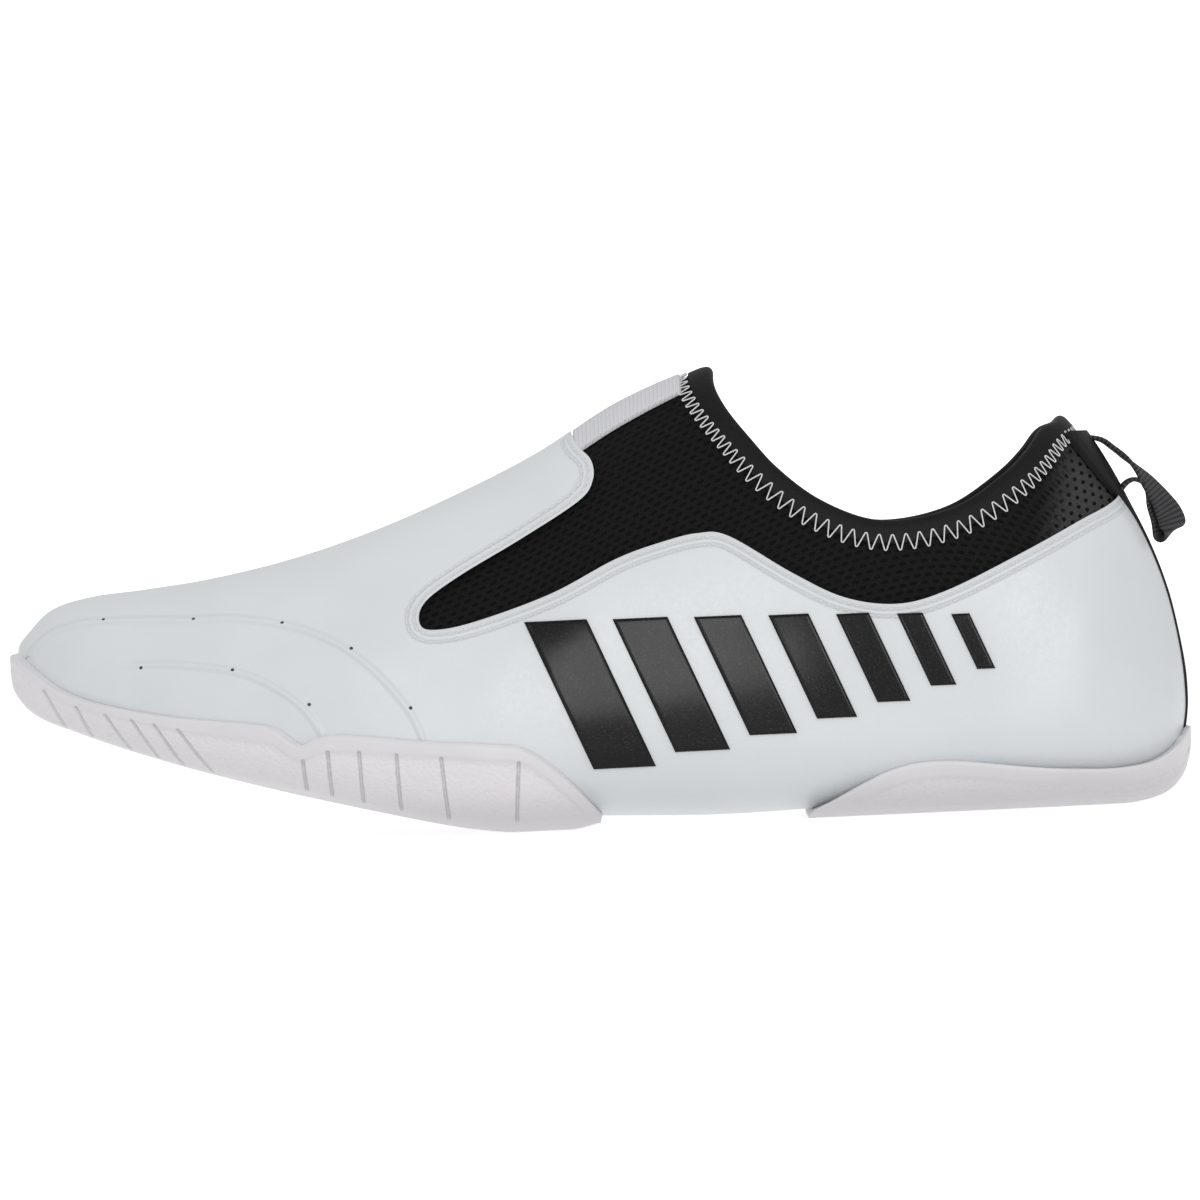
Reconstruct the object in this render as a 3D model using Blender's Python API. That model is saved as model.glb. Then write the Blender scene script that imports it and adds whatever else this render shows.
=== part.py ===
"""A low slip-on training shoe for the left foot, standing empty on the floor.

The toe points along -X, the outer side of the foot is -Y and up is +Z.
The origin is on the floor under the middle of the heel seat.
Every layer of the shoe comes from one last form, whose rings form_rings works out.
"""
import math
from collections import namedtuple

import bmesh
import bpy
from mathutils import Vector

# Driving sizes of the last and the sole, in metres
UPPER_LENGTH = 0.2852
HEEL_SEAT = 0.0444
HEEL_WIDTH = 0.0670
BALL_WIDTH = 0.0940
HEEL_HEIGHT = 0.0910
INSTEP_HEIGHT = 0.1095
TOE_SPRING = 0.0450
ARCH_RISE = 0.0080
SOLE_THICKNESS = 0.0032
SOLE_GROWTH = 0.0020
FORE_WALL = 0.0220
HEEL_WALL = 0.0175

# Walls of the pieces
LEATHER_WALL = 0.0012
LINING_WALL = 0.0020
OVERLAY_WALL = 0.0005
WEBBING_WALL = 0.0012
INSOLE_THICKNESS = 0.0030
CLEARANCE = 0.0003

# Small pieces
LASTING_MARGIN = 0.0120
BACKSTAY_TOP_WIDTH = 0.0250
BACKSTAY_FOOT_WIDTH = 0.0090
BINDING_BAND = 0.0040
BINDING_WALL = 0.0008
TAB_WIDTH = 0.0280
TAB_LENGTH = 0.0250
LOOP_WIDTH = 0.0120
LOOP_WALL = 0.0015
PANEL_DEPTH = 0.0006
RIB_DEPTH = 0.0012
RIB_WIDTH = 0.0012
LIP_HEIGHT = 0.0038
FORE_BAND = 0.0050
HEEL_BAND = 0.0022
PANEL_STEP = 0.0002
TREAD_DEPTH = 0.0010
TREAD_WIDTH = 0.0030
PANEL_FADE = 0.0015
BAR_COUNT = 7
BAR_WIDTH = 0.0150
BAR_HEIGHT = 0.0360
BAR_GAP = 0.0055

# Places along the last, as shares of its length from the heel
COLLAR_BACK = 0.094
BACKSTAY_FRONT = 0.130
BACKSTAY_WIDE = 0.070
BACKSTAY_NARROW = 0.030
TAB_MIDDLE = 0.460
FIRST_BAR = 0.510
WIDTH_BLEND = (0.25, 0.65)
HEIGHT_BLEND = (0.08, 0.32)
ARCH_START = (0.20, 0.38)
ARCH_END = (0.42, 0.58)

# Shares that shape the arch, the sole's corners and the row of bars
COLLAR_BACK_RISE = 0.975
ARCH_FADE = 1.6
SOLE_SQUARENESS = 1.6
SOLE_END_SHARE = 0.8
SOLE_HEEL_SHARE = 0.6
RIB_FOOT_SHARE = 0.7
BAR_LEAN = 0.42
BAR_MIDDLE = 0.300
BAR_CLIMB = 0.013
BAR_SLIMMING = 0.8
BAR_STEP = 0.94

# Fineness of the faceted forms
RINGS = 26
TURNS = 20
WINDOW_STEPS = 12
SLOPE_STEP = 0.004
SIDE_STEP = 0.001
TREAD_STEP = 0.01

# Reach of a cutter past the shoe's side and top, and below the floor or past the heel
REACH = INSTEP_HEIGHT * 1.1
BELOW = HEEL_WIDTH * 0.3

# Sections of the last, heel to toe. Widths are shares of the local width, spring of TOE_SPRING,
# belly is where the widest line lies in the section, height is a share of the local height.
Section = namedtuple("Section", "along lateral medial spring belly height under over")
SECTIONS = (
    Section(0.000, 0.000, 0.000, 0.530, 0.00, 0.000, 2.2, 2.0),
    Section(0.004, 0.112, 0.112, 0.296, 0.47, 0.242, 2.2, 2.0),
    Section(0.014, 0.224, 0.224, 0.147, 0.40, 0.469, 2.4, 2.0),
    Section(0.034, 0.325, 0.321, 0.071, 0.33, 0.675, 2.6, 2.0),
    Section(0.062, 0.410, 0.403, 0.036, 0.28, 0.854, 2.9, 2.0),
    Section(0.093, 0.467, 0.460, 0.022, 0.24, 1.002, 3.0, 2.0),
    Section(0.138, 0.501, 0.488, 0.018, 0.20, 1.104, 3.0, 2.0),
    Section(0.198, 0.510, 0.487, 0.004, 0.18, 1.121, 3.0, 2.0),
    Section(0.268, 0.515, 0.468, -0.016, 0.18, 1.077, 3.0, 2.0),
    Section(0.338, 0.509, 0.426, -0.031, 0.18, 1.041, 2.9, 1.95),
    Section(0.408, 0.502, 0.387, -0.038, 0.19, 0.998, 2.8, 1.9),
    Section(0.478, 0.509, 0.376, -0.022, 0.19, 0.920, 2.8, 1.9),
    Section(0.548, 0.522, 0.399, -0.002, 0.21, 0.805, 2.9, 1.95),
    Section(0.619, 0.524, 0.442, 0.038, 0.23, 0.704, 3.0, 2.0),
    Section(0.689, 0.517, 0.485, 0.133, 0.24, 0.594, 3.0, 2.1),
    Section(0.759, 0.485, 0.504, 0.244, 0.26, 0.494, 3.0, 2.2),
    Section(0.829, 0.430, 0.486, 0.371, 0.27, 0.405, 2.8, 2.2),
    Section(0.888, 0.349, 0.439, 0.489, 0.28, 0.338, 2.6, 2.2),
    Section(0.934, 0.255, 0.379, 0.593, 0.29, 0.284, 2.4, 2.2),
    Section(0.969, 0.151, 0.297, 0.698, 0.35, 0.216, 2.2, 2.1),
    Section(0.991, 0.043, 0.207, 0.831, 0.50, 0.110, 2.0, 2.0),
    Section(1.000, -0.085, 0.085, 1.002, 0.00, 0.000, 2.0, 2.0),
)

# Underside of the sole, heel to toe, level under the heel and the ball; spring is a share of TOE_SPRING
Underside = namedtuple("Underside", "along spring")
UNDERSIDE = (
    Underside(0.000, 0.420),
    Underside(0.003, 0.255),
    Underside(0.009, 0.150),
    Underside(0.025, 0.050),
    Underside(0.052, 0.005),
    Underside(0.075, 0.000),
    Underside(0.575, 0.000),
    Underside(0.607, 0.022),
    Underside(0.638, 0.060),
    Underside(0.682, 0.127),
    Underside(0.764, 0.260),
    Underside(0.835, 0.389),
    Underside(0.895, 0.513),
    Underside(0.942, 0.624),
    Underside(0.971, 0.698),
    Underside(0.985, 0.756),
    Underside(0.993, 0.815),
    Underside(0.998, 0.875),
    Underside(1.000, 0.985),
)

# Edges seen from the side. Rise is a share of the section's own height at that place.
Edge = namedtuple("Edge", "along rise")
COLLAR_EDGE = (
    Edge(0.401, 1.100),
    Edge(0.402, 0.985),
    Edge(0.397, 0.932),
    Edge(0.386, 0.874),
    Edge(0.369, 0.807),
    Edge(0.349, 0.735),
    Edge(0.315, 0.648),
    Edge(0.272, 0.592),
    Edge(0.233, 0.587),
    Edge(0.187, 0.630),
    Edge(0.146, 0.732),
    Edge(0.122, 0.830),
    Edge(0.108, 0.915),
    Edge(0.094, 0.975),
    Edge(0.080, 1.100),
)
LEATHER_EDGE = (
    Edge(0.520, 1.060),
    Edge(0.514, 0.965),
    Edge(0.501, 0.895),
    Edge(0.500, 0.842),
    Edge(0.513, 0.810),
    Edge(0.562, 0.786),
    Edge(0.615, 0.745),
    Edge(0.645, 0.695),
    Edge(0.654, 0.630),
    Edge(0.643, 0.585),
    Edge(0.606, 0.580),
    Edge(0.540, 0.595),
    Edge(0.484, 0.617),
    Edge(0.445, 0.628),
    Edge(0.413, 0.632),
    Edge(0.387, 0.610),
    Edge(0.335, 0.507),
    Edge(0.292, 0.441),
    Edge(0.248, 0.421),
    Edge(0.207, 0.446),
    Edge(0.149, 0.540),
    Edge(0.090, 0.718),
    Edge(0.052, 0.960),
    Edge(0.044, 1.150),
)

# Top edges of the two sole pieces; wall is a share of FORE_WALL or HEEL_WALL above the underside
SoleEdge = namedtuple("SoleEdge", "along wall")
FORE_EDGE = (
    SoleEdge(0.996, 0.450),
    SoleEdge(0.985, 0.490),
    SoleEdge(0.961, 0.430),
    SoleEdge(0.935, 0.410),
    SoleEdge(0.900, 0.462),
    SoleEdge(0.858, 0.543),
    SoleEdge(0.825, 0.625),
    SoleEdge(0.793, 0.695),
    SoleEdge(0.774, 0.705),
    SoleEdge(0.753, 0.590),
    SoleEdge(0.737, 0.712),
    SoleEdge(0.715, 0.805),
    SoleEdge(0.668, 0.885),
    SoleEdge(0.634, 0.940),
    SoleEdge(0.593, 0.985),
    SoleEdge(0.570, 0.960),
    SoleEdge(0.550, 0.805),
    SoleEdge(0.529, 0.555),
    SoleEdge(0.513, 0.310),
    SoleEdge(0.503, 0.120),
    SoleEdge(0.499, -0.150),
)
HEEL_EDGE = (
    SoleEdge(0.332, -0.300),
    SoleEdge(0.329, 0.060),
    SoleEdge(0.308, 0.262),
    SoleEdge(0.284, 0.470),
    SoleEdge(0.262, 0.632),
    SoleEdge(0.240, 0.722),
    SoleEdge(0.218, 0.743),
    SoleEdge(0.195, 0.715),
    SoleEdge(0.138, 0.590),
    SoleEdge(0.095, 0.537),
    SoleEdge(0.067, 0.525),
    SoleEdge(0.041, 0.530),
    SoleEdge(0.023, 0.550),
    SoleEdge(0.010, 0.520),
    SoleEdge(0.003, 0.380),
)

# Ribs of the forefoot side; foot is how far the groove leans back, as a share of FORE_WALL
Rib = namedtuple("Rib", "along foot")
RIBS = (
    Rib(0.968, 0.22),
    Rib(0.940, 0.16),
    Rib(0.915, 0.26),
    Rib(0.892, 0.27),
    Rib(0.873, 0.29),
    Rib(0.853, 0.35),
    Rib(0.749, 0.02),
    Rib(0.728, 0.02),
    Rib(0.702, 0.02),
    Rib(0.671, 0.02),
    Rib(0.634, 0.05),
    Rib(0.570, -0.05),
)

# Tread bars across the underside, as shares of the sole's length
FORE_TREAD = (0.56, 0.62, 0.68, 0.74, 0.80, 0.86)
HEEL_TREAD = (0.10, 0.22, 0.27)

# Windows under the upper that the sole pieces close, as shares of the upper's length
Window = namedtuple("Window", "heel_end toe_end")
FORE_WINDOW = Window(0.560, 0.915)
HEEL_WINDOW = Window(0.060, 0.285)

# Pull loop seen from the side: out from the heel's back line and rise from the collar's back edge,
# both as shares of HEEL_HEIGHT, and the twist of the webbing in degrees
Fold = namedtuple("Fold", "out rise twist")
LOOP_FOLDS = (
    Fold(0.000, -0.030, 0.0),
    Fold(0.006, -0.064, 0.0),
    Fold(0.036, -0.102, 3.0),
    Fold(0.048, -0.164, 12.0),
    Fold(0.070, -0.233, 24.0),
    Fold(0.067, -0.284, 28.0),
    Fold(0.053, -0.303, 28.0),
    Fold(0.037, -0.290, 26.0),
    Fold(0.034, -0.250, 20.0),
    Fold(0.044, -0.200, 8.0),
    Fold(0.040, -0.168, 2.0),
    Fold(0.022, -0.160, 0.0),
    Fold(0.000, -0.188, 0.0),
)

SOLE_LENGTH = UPPER_LENGTH + 2 * SOLE_GROWTH * SOLE_END_SHARE


def ease(low, high, value):
    """A smooth step from 0 to 1 between two places."""
    part = min(1.0, max(0.0, (value - low) / (high - low)))
    return part * part * (3.0 - 2.0 * part)


def local_width(along):
    """The width that the lateral and medial shares follow, from heel to ball."""
    return HEEL_WIDTH + (BALL_WIDTH - HEEL_WIDTH) * ease(*WIDTH_BLEND, along)


def local_height(along):
    """The height that the height shares follow, from heel to instep."""
    return HEEL_HEIGHT + (INSTEP_HEIGHT - HEEL_HEIGHT) * ease(*HEIGHT_BLEND, along)


def half_turn(along):
    """The half turn from heel to toe at a share of the length; it spaces rings finely at both ends."""
    return math.acos(1.0 - 2.0 * min(1.0, max(0.0, along)))


def share_at(half):
    """The share of the length at a half turn."""
    return (1.0 - math.cos(half)) / 2.0


def smooth_row(rows, half):
    """All columns of a table at a half turn, on smooth curves through its rows."""
    places = [half_turn(row.along) for row in rows]
    last = len(rows) - 1
    k = 0
    while k < last - 1 and places[k + 1] < half:
        k += 1
    span = places[k + 1] - places[k]
    part = (half - places[k]) / span

    def slope(index, column):
        before = max(0, index - 1)
        after = min(last, index + 1)
        return (rows[after][column] - rows[before][column]) / (places[after] - places[before])

    values = []
    for column in range(len(rows[0])):
        start = rows[k][column]
        end = rows[k + 1][column]
        leave = slope(k, column) * span
        arrive = slope(k + 1, column) * span
        square = part * part
        cube = square * part
        value = (2 * cube - 3 * square + 1) * start + (cube - 2 * square + part) * leave
        value += (3 * square - 2 * cube) * end + (cube - square) * arrive
        values.append(value)
    return values


def underside_height(along):
    """Height of the sole's underside above the floor at a share of the sole's length."""
    half = half_turn(along)
    spring = smooth_row(UNDERSIDE, half)[1]
    level = UNDERSIDE[5].along <= along <= UNDERSIDE[6].along
    return 0.0 if level else max(0.0, spring * TOE_SPRING)


def section_sizes(half):
    """Sizes of the last's section at a half turn, in metres."""
    row = smooth_row(SECTIONS, half)
    along = share_at(half)
    lateral = row[1] * local_width(along)
    medial = row[2] * local_width(along)
    low = SOLE_THICKNESS + row[3] * TOE_SPRING
    height = row[5] * local_height(along)
    belly = low + row[4] * height
    return along, (medial - lateral) / 2, (medial + lateral) / 2, low, belly, low + height, row[6], row[7]


def power(value, exponent):
    """A signed power, for the rounded corners of a section."""
    return math.copysign(abs(value) ** exponent, value)


def section_point(sizes, turn, grow=0.0):
    """A point of a section; turn is the angle from the medial side, over the top."""
    along, centre, half_width, low, belly, top, under, over = sizes
    cosine = math.cos(turn)
    sine = math.sin(turn)
    exponent = over if sine > 0 else under
    rise = (top - belly) if sine > 0 else (belly - low)
    reach = power(cosine, 2.0 / exponent)
    across = centre + (half_width + grow) * reach
    up = belly + (rise + grow) * power(sine, 2.0 / exponent)
    if sine < 0 and cosine > 0:
        arch = ease(*ARCH_START, along) * (1.0 - ease(*ARCH_END, along))
        up += ARCH_RISE * arch * reach * reach * min(1.0, -sine * ARCH_FADE)
    return across, up


def form_point(half, turn, depth):
    """A point of the last form, moved inwards along its normal by depth."""
    sizes = section_sizes(half)
    before = section_sizes(max(0.0, half - SLOPE_STEP))
    after = section_sizes(min(math.pi, half + SLOPE_STEP))
    return offset_point(half, sizes, before, after, turn, depth)


def upper_x(half):
    """Place along the shoe of a half turn."""
    return HEEL_SEAT - UPPER_LENGTH * share_at(half)


def offset_point(half, sizes, before, after, turn, depth):
    """The form's point at a turn, moved inwards along the normal there."""
    across, up = section_point(sizes, turn)
    point = Vector((upper_x(half), across, up))
    back = Vector((upper_x(max(0.0, half - SLOPE_STEP)), *section_point(before, turn)))
    front = Vector((upper_x(min(math.pi, half + SLOPE_STEP)), *section_point(after, turn)))
    swing = math.radians(2.0)
    left = Vector((point.x, *section_point(sizes, turn - swing)))
    right = Vector((point.x, *section_point(sizes, turn + swing)))
    normal = (front - back).cross(right - left)
    normal.normalize()
    return point - normal * depth


def turn_list():
    """The turns of a ring, from the middle of the underside all the way round."""
    return [-math.pi / 2 + math.tau * k / TURNS for k in range(TURNS)]


def form_rings(depth):
    """Rings of the last form from heel to toe, with the two end points."""
    rings = []
    for k in range(1, RINGS):
        half = math.pi * k / RINGS
        sizes = section_sizes(half)
        before = section_sizes(half - SLOPE_STEP)
        after = section_sizes(half + SLOPE_STEP)
        rings.append([offset_point(half, sizes, before, after, turn, depth) for turn in turn_list()])
    heel = Vector((HEEL_SEAT - depth, 0.0, section_sizes(0.0)[4]))
    toe_sizes = section_sizes(math.pi)
    toe = Vector((HEEL_SEAT - UPPER_LENGTH + depth, toe_sizes[1], toe_sizes[4]))
    return heel, rings, toe


def edge_height(rows, wall, along):
    """Height of a sole piece's top edge at a share of the sole's length."""
    ordered = sorted(rows)
    if along <= ordered[0].along:
        return underside_height(along) + wall * ordered[0].wall
    for before, after in zip(ordered, ordered[1:]):
        if along <= after.along:
            part = (along - before.along) / (after.along - before.along)
            return underside_height(along) + wall * (before.wall + (after.wall - before.wall) * part)
    return underside_height(along) + wall * ordered[-1].wall


def sole_section(half):
    """The sole's own section at a half turn: wider and squarer than the last, and lower."""
    sizes = list(section_sizes(half))
    floor = underside_height(share_at(half))
    sizes[2] += SOLE_GROWTH
    sizes[3] = min(floor - CLEARANCE * 2, sizes[4] - SIDE_STEP)
    sizes[5] += SOLE_GROWTH
    sizes[6] = max(sizes[6], 2.0 + SOLE_SQUARENESS * math.sin(half) ** 0.5)
    return sizes, floor


def turn_at_height(sizes, height):
    """The turn on the medial side where a section reaches a height."""
    centre, half_width, low, belly, top, under, over = sizes[1:]
    if height < belly:
        share = min(1.0, (belly - height) / (belly - low))
        return -math.asin(share ** (under / 2.0))
    share = min(1.0, (height - belly) / max(top - belly, 1e-6))
    return math.asin(share ** (over / 2.0))


def sole_levels(rows, wall, band, half, sizes, floor):
    """Heights of the smooth band's top and the lip's foot, and the depth of the panel between them."""
    along = share_at(half)
    lip = edge_height(rows, wall, along) - LIP_HEIGHT
    foot = floor + band
    room = lip - foot
    depth = PANEL_DEPTH * ease(0.0, PANEL_FADE, room)
    if room < 4 * PANEL_STEP:
        middle = max(floor + 4 * PANEL_STEP, (lip + foot) / 2)
        middle = min(middle, sizes[5] - 4 * PANEL_STEP)
        foot = middle - 2 * PANEL_STEP
        lip = middle + 2 * PANEL_STEP
    return foot, lip, depth


def sole_rings(rows, wall, band):
    """Rings of a sole piece's outer form: level where it stands, with a recessed side panel."""
    rings = []
    for k in range(1, RINGS):
        half = math.pi * k / RINGS
        sizes, floor = sole_section(half)
        foot, lip, depth = sole_levels(rows, wall, band, half, sizes, floor)
        stops = (
            (turn_at_height(sizes, foot), 0.0),
            (turn_at_height(sizes, foot + PANEL_STEP), depth),
            (turn_at_height(sizes, lip - PANEL_STEP), depth),
            (turn_at_height(sizes, lip), 0.0),
        )
        down = -math.pi / 2
        below = [(down + (stops[0][0] - down) * j / 6, 0.0) for j in range(1, 6)]
        upward = [(stops[3][0] + (-down - stops[3][0]) * j / 5, 0.0) for j in range(1, 5)]
        side = below + list(stops) + upward
        turns = [(down, 0.0)] + side + [(-down, 0.0)]
        turns += [(math.pi - turn, recess) for turn, recess in reversed(side)]
        ring = []
        for turn, recess in turns:
            across, up = section_point(sizes, turn, -recess)
            ring.append(Vector((sole_x(share_at(half)), across, max(up, floor))))
        rings.append(ring)
    heel = Vector((sole_x(0.0), 0.0, section_sizes(0.0)[4]))
    toe_sizes = section_sizes(math.pi)
    toe = Vector((sole_x(1.0), toe_sizes[1], toe_sizes[4]))
    return heel, rings, toe


def closed_form(mesh, heel, rings, toe):
    """Faces of a closed form through its rings and its two end points, split alike in every layer."""
    first = mesh.verts.new(heel)
    last = mesh.verts.new(toe)
    loops = [[mesh.verts.new(point) for point in ring] for ring in rings]
    faces = []
    count = len(rings[0])
    for k in range(count):
        after = (k + 1) % count
        faces.append((first, loops[0][k], loops[0][after]))
        faces.append((last, loops[-1][after], loops[-1][k]))
        for lower, upper in zip(loops, loops[1:]):
            faces.append((lower[k], upper[k], upper[after]))
            faces.append((lower[k], upper[after], lower[after]))
    return [mesh.faces.new(corners) for corners in faces]


def new_object(name, mesh, collection, material=None):
    """An object from a bmesh, in a collection, with its faces pointing out."""
    data = bpy.data.meshes.new(name)
    mesh.to_mesh(data)
    mesh.free()
    thing = bpy.data.objects.new(name, data)
    collection.objects.link(thing)
    if material is None:
        thing.hide_render = True
        thing.display_type = "WIRE"
    else:
        data.materials.append(material)
        data.shade_smooth()
        data.set_sharp_from_angle(angle=math.radians(35))
    return thing


def join_loops(mesh, loops):
    """Faces between loops of as many points, closed at both ends."""
    count = len(loops[0])
    for first, second in zip(loops, loops[1:]):
        for k in range(count):
            after = (k + 1) % count
            mesh.faces.new((first[k], first[after], second[after], second[k]))
    mesh.faces.new(loops[0])
    mesh.faces.new(reversed(loops[-1]))


def shell(name, outer_depth, inner_depth, collection, material=None):
    """A closed form, hollow when it has an inner depth."""
    mesh = bmesh.new()
    closed_form(mesh, *form_rings(outer_depth))
    if inner_depth is not None:
        inside = closed_form(mesh, *form_rings(inner_depth))
        bmesh.ops.reverse_faces(mesh, faces=inside)
    return new_object(name, mesh, collection, material)


def prism(name, outline, low, high, axis, collection):
    """A cutter with a flat outline, drawn out along Y or along Z."""
    mesh = bmesh.new()
    ends = []
    for level in (low, high):
        if axis == "Y":
            ends.append([mesh.verts.new((x, level, z)) for x, z in outline])
        else:
            ends.append([mesh.verts.new((x, y, level)) for x, y in outline])
    mesh.faces.new(ends[0])
    mesh.faces.new(reversed(ends[1]))
    count = len(outline)
    for k in range(count):
        after = (k + 1) % count
        mesh.faces.new((ends[0][k], ends[0][after], ends[1][after], ends[1][k]))
    bmesh.ops.recalc_face_normals(mesh, faces=mesh.faces)
    return new_object(name, mesh, collection)


def smooth_line(points, steps):
    """A smooth line through points, with some steps between each two."""
    line = []
    last = len(points) - 1
    for k in range(last):
        before = points[max(0, k - 1)]
        start = points[k]
        end = points[k + 1]
        after = points[min(last, k + 2)]
        for step in range(steps):
            part = step / steps
            place = []
            for a, b, c, d in zip(before, start, end, after):
                bend = (2 * a - 5 * b + 4 * c - d) * part ** 2 + (3 * b - a - 3 * c + d) * part ** 3
                place.append(b + 0.5 * ((c - a) * part + bend))
            line.append(tuple(place))
    line.append(tuple(points[-1]))
    return line


def side_edge(rows, steps):
    """A side view edge in metres, from a table of rises."""
    points = []
    for row in rows:
        half = half_turn(row.along)
        sizes = section_sizes(half)
        points.append((upper_x(half), sizes[3] + row.rise * (sizes[5] - sizes[3])))
    return smooth_line(points, steps)


def sole_x(along):
    """Place along the shoe of a share of the sole's length."""
    return HEEL_SEAT + SOLE_GROWTH * SOLE_HEEL_SHARE - SOLE_LENGTH * along


def sole_edge(rows, wall, steps):
    """A side view edge of a sole piece in metres."""
    points = []
    for row in rows:
        points.append((sole_x(row.along), underside_height(row.along) + row.wall * wall))
    return smooth_line(points, steps)


def boolean(thing, cutter, operation):
    """A live Boolean of one cutter."""
    modifier = thing.modifiers.new(cutter.name, "BOOLEAN")
    modifier.operation = operation
    modifier.object = cutter
    modifier.solver = "EXACT"


def make_material(name, colour, roughness, coat=0.0):
    """A plain surface for one sub-part."""
    material = bpy.data.materials.new(name)
    material.use_nodes = True
    shader = material.node_tree.nodes["Principled BSDF"]
    shader.inputs["Base Color"].default_value = (*colour, 1.0)
    shader.inputs["Roughness"].default_value = roughness
    shader.inputs["Metallic"].default_value = 0.0
    shader.inputs["Coat Weight"].default_value = coat
    return material


def window_outline(window, inset):
    """The outline of a window under the upper, seen from above and inset from the last's edge."""
    middle = (window.heel_end + window.toe_end) / 2
    reach = (window.toe_end - window.heel_end) / 2 - inset / UPPER_LENGTH
    sides = ([], [])
    for k in range(WINDOW_STEPS + 1):
        part = math.cos(math.pi * k / WINDOW_STEPS)
        half = half_turn(middle + reach * part)
        sizes = section_sizes(half)
        round_end = max(0.0, 1.0 - abs(part) ** 3) ** 0.5
        width = (sizes[2] - LASTING_MARGIN - inset) * round_end
        sides[0].append((upper_x(half), sizes[1] + width))
        sides[1].append((upper_x(half), sizes[1] - width))
    return sides[0] + sides[1][-2:0:-1]


def window_top(window):
    """Height up to which a window cutter reaches, inside the hollow of the upper."""
    sizes = section_sizes(half_turn(window.toe_end))
    return (sizes[3] + sizes[5]) / 2


def open_below(thing, cutters, inset, word):
    """Cuts the forefoot and heel windows through the bottom of an upper piece."""
    for window, place in ((FORE_WINDOW, "fore"), (HEEL_WINDOW, "heel")):
        outline = window_outline(window, inset)
        cutter = prism(f"{word}_{place}_window", outline, -BELOW, window_top(window), "Z", cutters)
        boolean(thing, cutter, "DIFFERENCE")


def above(edge):
    """The outline of everything above a side view edge."""
    top = REACH + INSTEP_HEIGHT
    return list(edge) + [(edge[-1][0], top), (edge[0][0], top)]


def make_upper(parts, cutters, material):
    """The hollow stretch bootie, open at the collar and under the forefoot and heel."""
    outer = LEATHER_WALL + CLEARANCE
    upper = shell("upper", outer, outer + LINING_WALL, parts, material)
    opening = prism("collar_cutter", above(side_edge(COLLAR_EDGE, 1)), -REACH, REACH, "Y", cutters)
    boolean(upper, opening, "DIFFERENCE")
    open_below(upper, cutters, 0.0, "upper")


def backstay_outline(gap):
    """The backstay strip seen from above the heel, wider towards its top."""
    narrow = BACKSTAY_FOOT_WIDTH / 2 + gap
    wide = BACKSTAY_TOP_WIDTH / 2 + gap
    front = HEEL_SEAT - UPPER_LENGTH * BACKSTAY_FRONT
    upper = HEEL_SEAT - UPPER_LENGTH * BACKSTAY_WIDE
    lower = HEEL_SEAT - UPPER_LENGTH * BACKSTAY_NARROW
    back = HEEL_SEAT + BELOW
    side = [(front, wide), (upper, wide), (lower, narrow), (back, narrow)]
    return [(x, -y) for x, y in side] + side[::-1]


def make_leather(parts, cutters, material):
    """The smooth vamp and quarters over the bootie, wrapped under the waist."""
    leather = shell("leather_shell", 0.0, LEATHER_WALL, parts, material)
    gusset = prism("gusset_cutter", above(side_edge(LEATHER_EDGE, 2)), -REACH, REACH, "Y", cutters)
    boolean(leather, gusset, "DIFFERENCE")
    open_below(leather, cutters, 0.0, "leather")
    slot = prism("backstay_slot", backstay_outline(CLEARANCE), -BELOW, REACH, "Z", cutters)
    boolean(leather, slot, "DIFFERENCE")


def collar_back_height():
    """Height of the collar's edge at the back of the heel."""
    sizes = section_sizes(half_turn(COLLAR_BACK))
    return sizes[3] + COLLAR_BACK_RISE * (sizes[5] - sizes[3])


def backstay_side():
    """The side view reach of the backstay, from above the sole to under the collar binding."""
    high = collar_back_height() - BINDING_BAND * 1.5
    low = sole_edge(HEEL_EDGE, HEEL_WALL, 1)[-1][1] + CLEARANCE * 8
    front = HEEL_SEAT - UPPER_LENGTH * BACKSTAY_FRONT
    back = HEEL_SEAT + BELOW
    return [(front, high), (back, high), (back, low), (front, low)]


def make_backstay(parts, cutters, material):
    """The strip up the back of the heel, in the slot between the quarters."""
    backstay = shell("backstay", -CLEARANCE, LEATHER_WALL, parts, material)
    strip = prism("backstay_strip", backstay_outline(0.0), -BELOW, REACH, "Z", cutters)
    reach = prism("backstay_reach", backstay_side(), -REACH, REACH, "Y", cutters)
    boolean(backstay, strip, "INTERSECT")
    boolean(backstay, reach, "INTERSECT")


def make_instep_tab(parts, cutters, material):
    """The webbing tab on the instep, between the vamp's end and the collar."""
    tab = shell("instep_tab", LEATHER_WALL - WEBBING_WALL, LEATHER_WALL, parts, material)
    toe_end = side_edge(LEATHER_EDGE, 1)[1][0] + CLEARANCE * 4
    heel_end = toe_end + TAB_LENGTH
    ridge = section_sizes(half_turn(TAB_MIDDLE))[1]
    half_width = TAB_WIDTH / 2
    outline = [
        (toe_end, ridge - half_width),
        (heel_end, ridge - half_width),
        (heel_end, ridge + half_width),
        (toe_end, ridge + half_width),
    ]
    cutter = prism("tab_cutter", outline, INSTEP_HEIGHT / 2, REACH + INSTEP_HEIGHT, "Z", cutters)
    boolean(tab, cutter, "INTERSECT")
    beside = moved_line(side_edge(LEATHER_EDGE, 2), CLEARANCE)
    boolean(tab, prism("tab_side", above(beside), -REACH, REACH, "Y", cutters), "INTERSECT")


def moved_line(line, distance):
    """A side view line moved sideways, positive towards its left when followed."""
    moved = []
    for k, (x, z) in enumerate(line):
        before = line[max(0, k - 1)]
        after = line[min(len(line) - 1, k + 1)]
        way_x = after[0] - before[0]
        way_z = after[1] - before[1]
        length = math.hypot(way_x, way_z)
        moved.append((x - way_z / length * distance, z + way_x / length * distance))
    return moved


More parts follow.
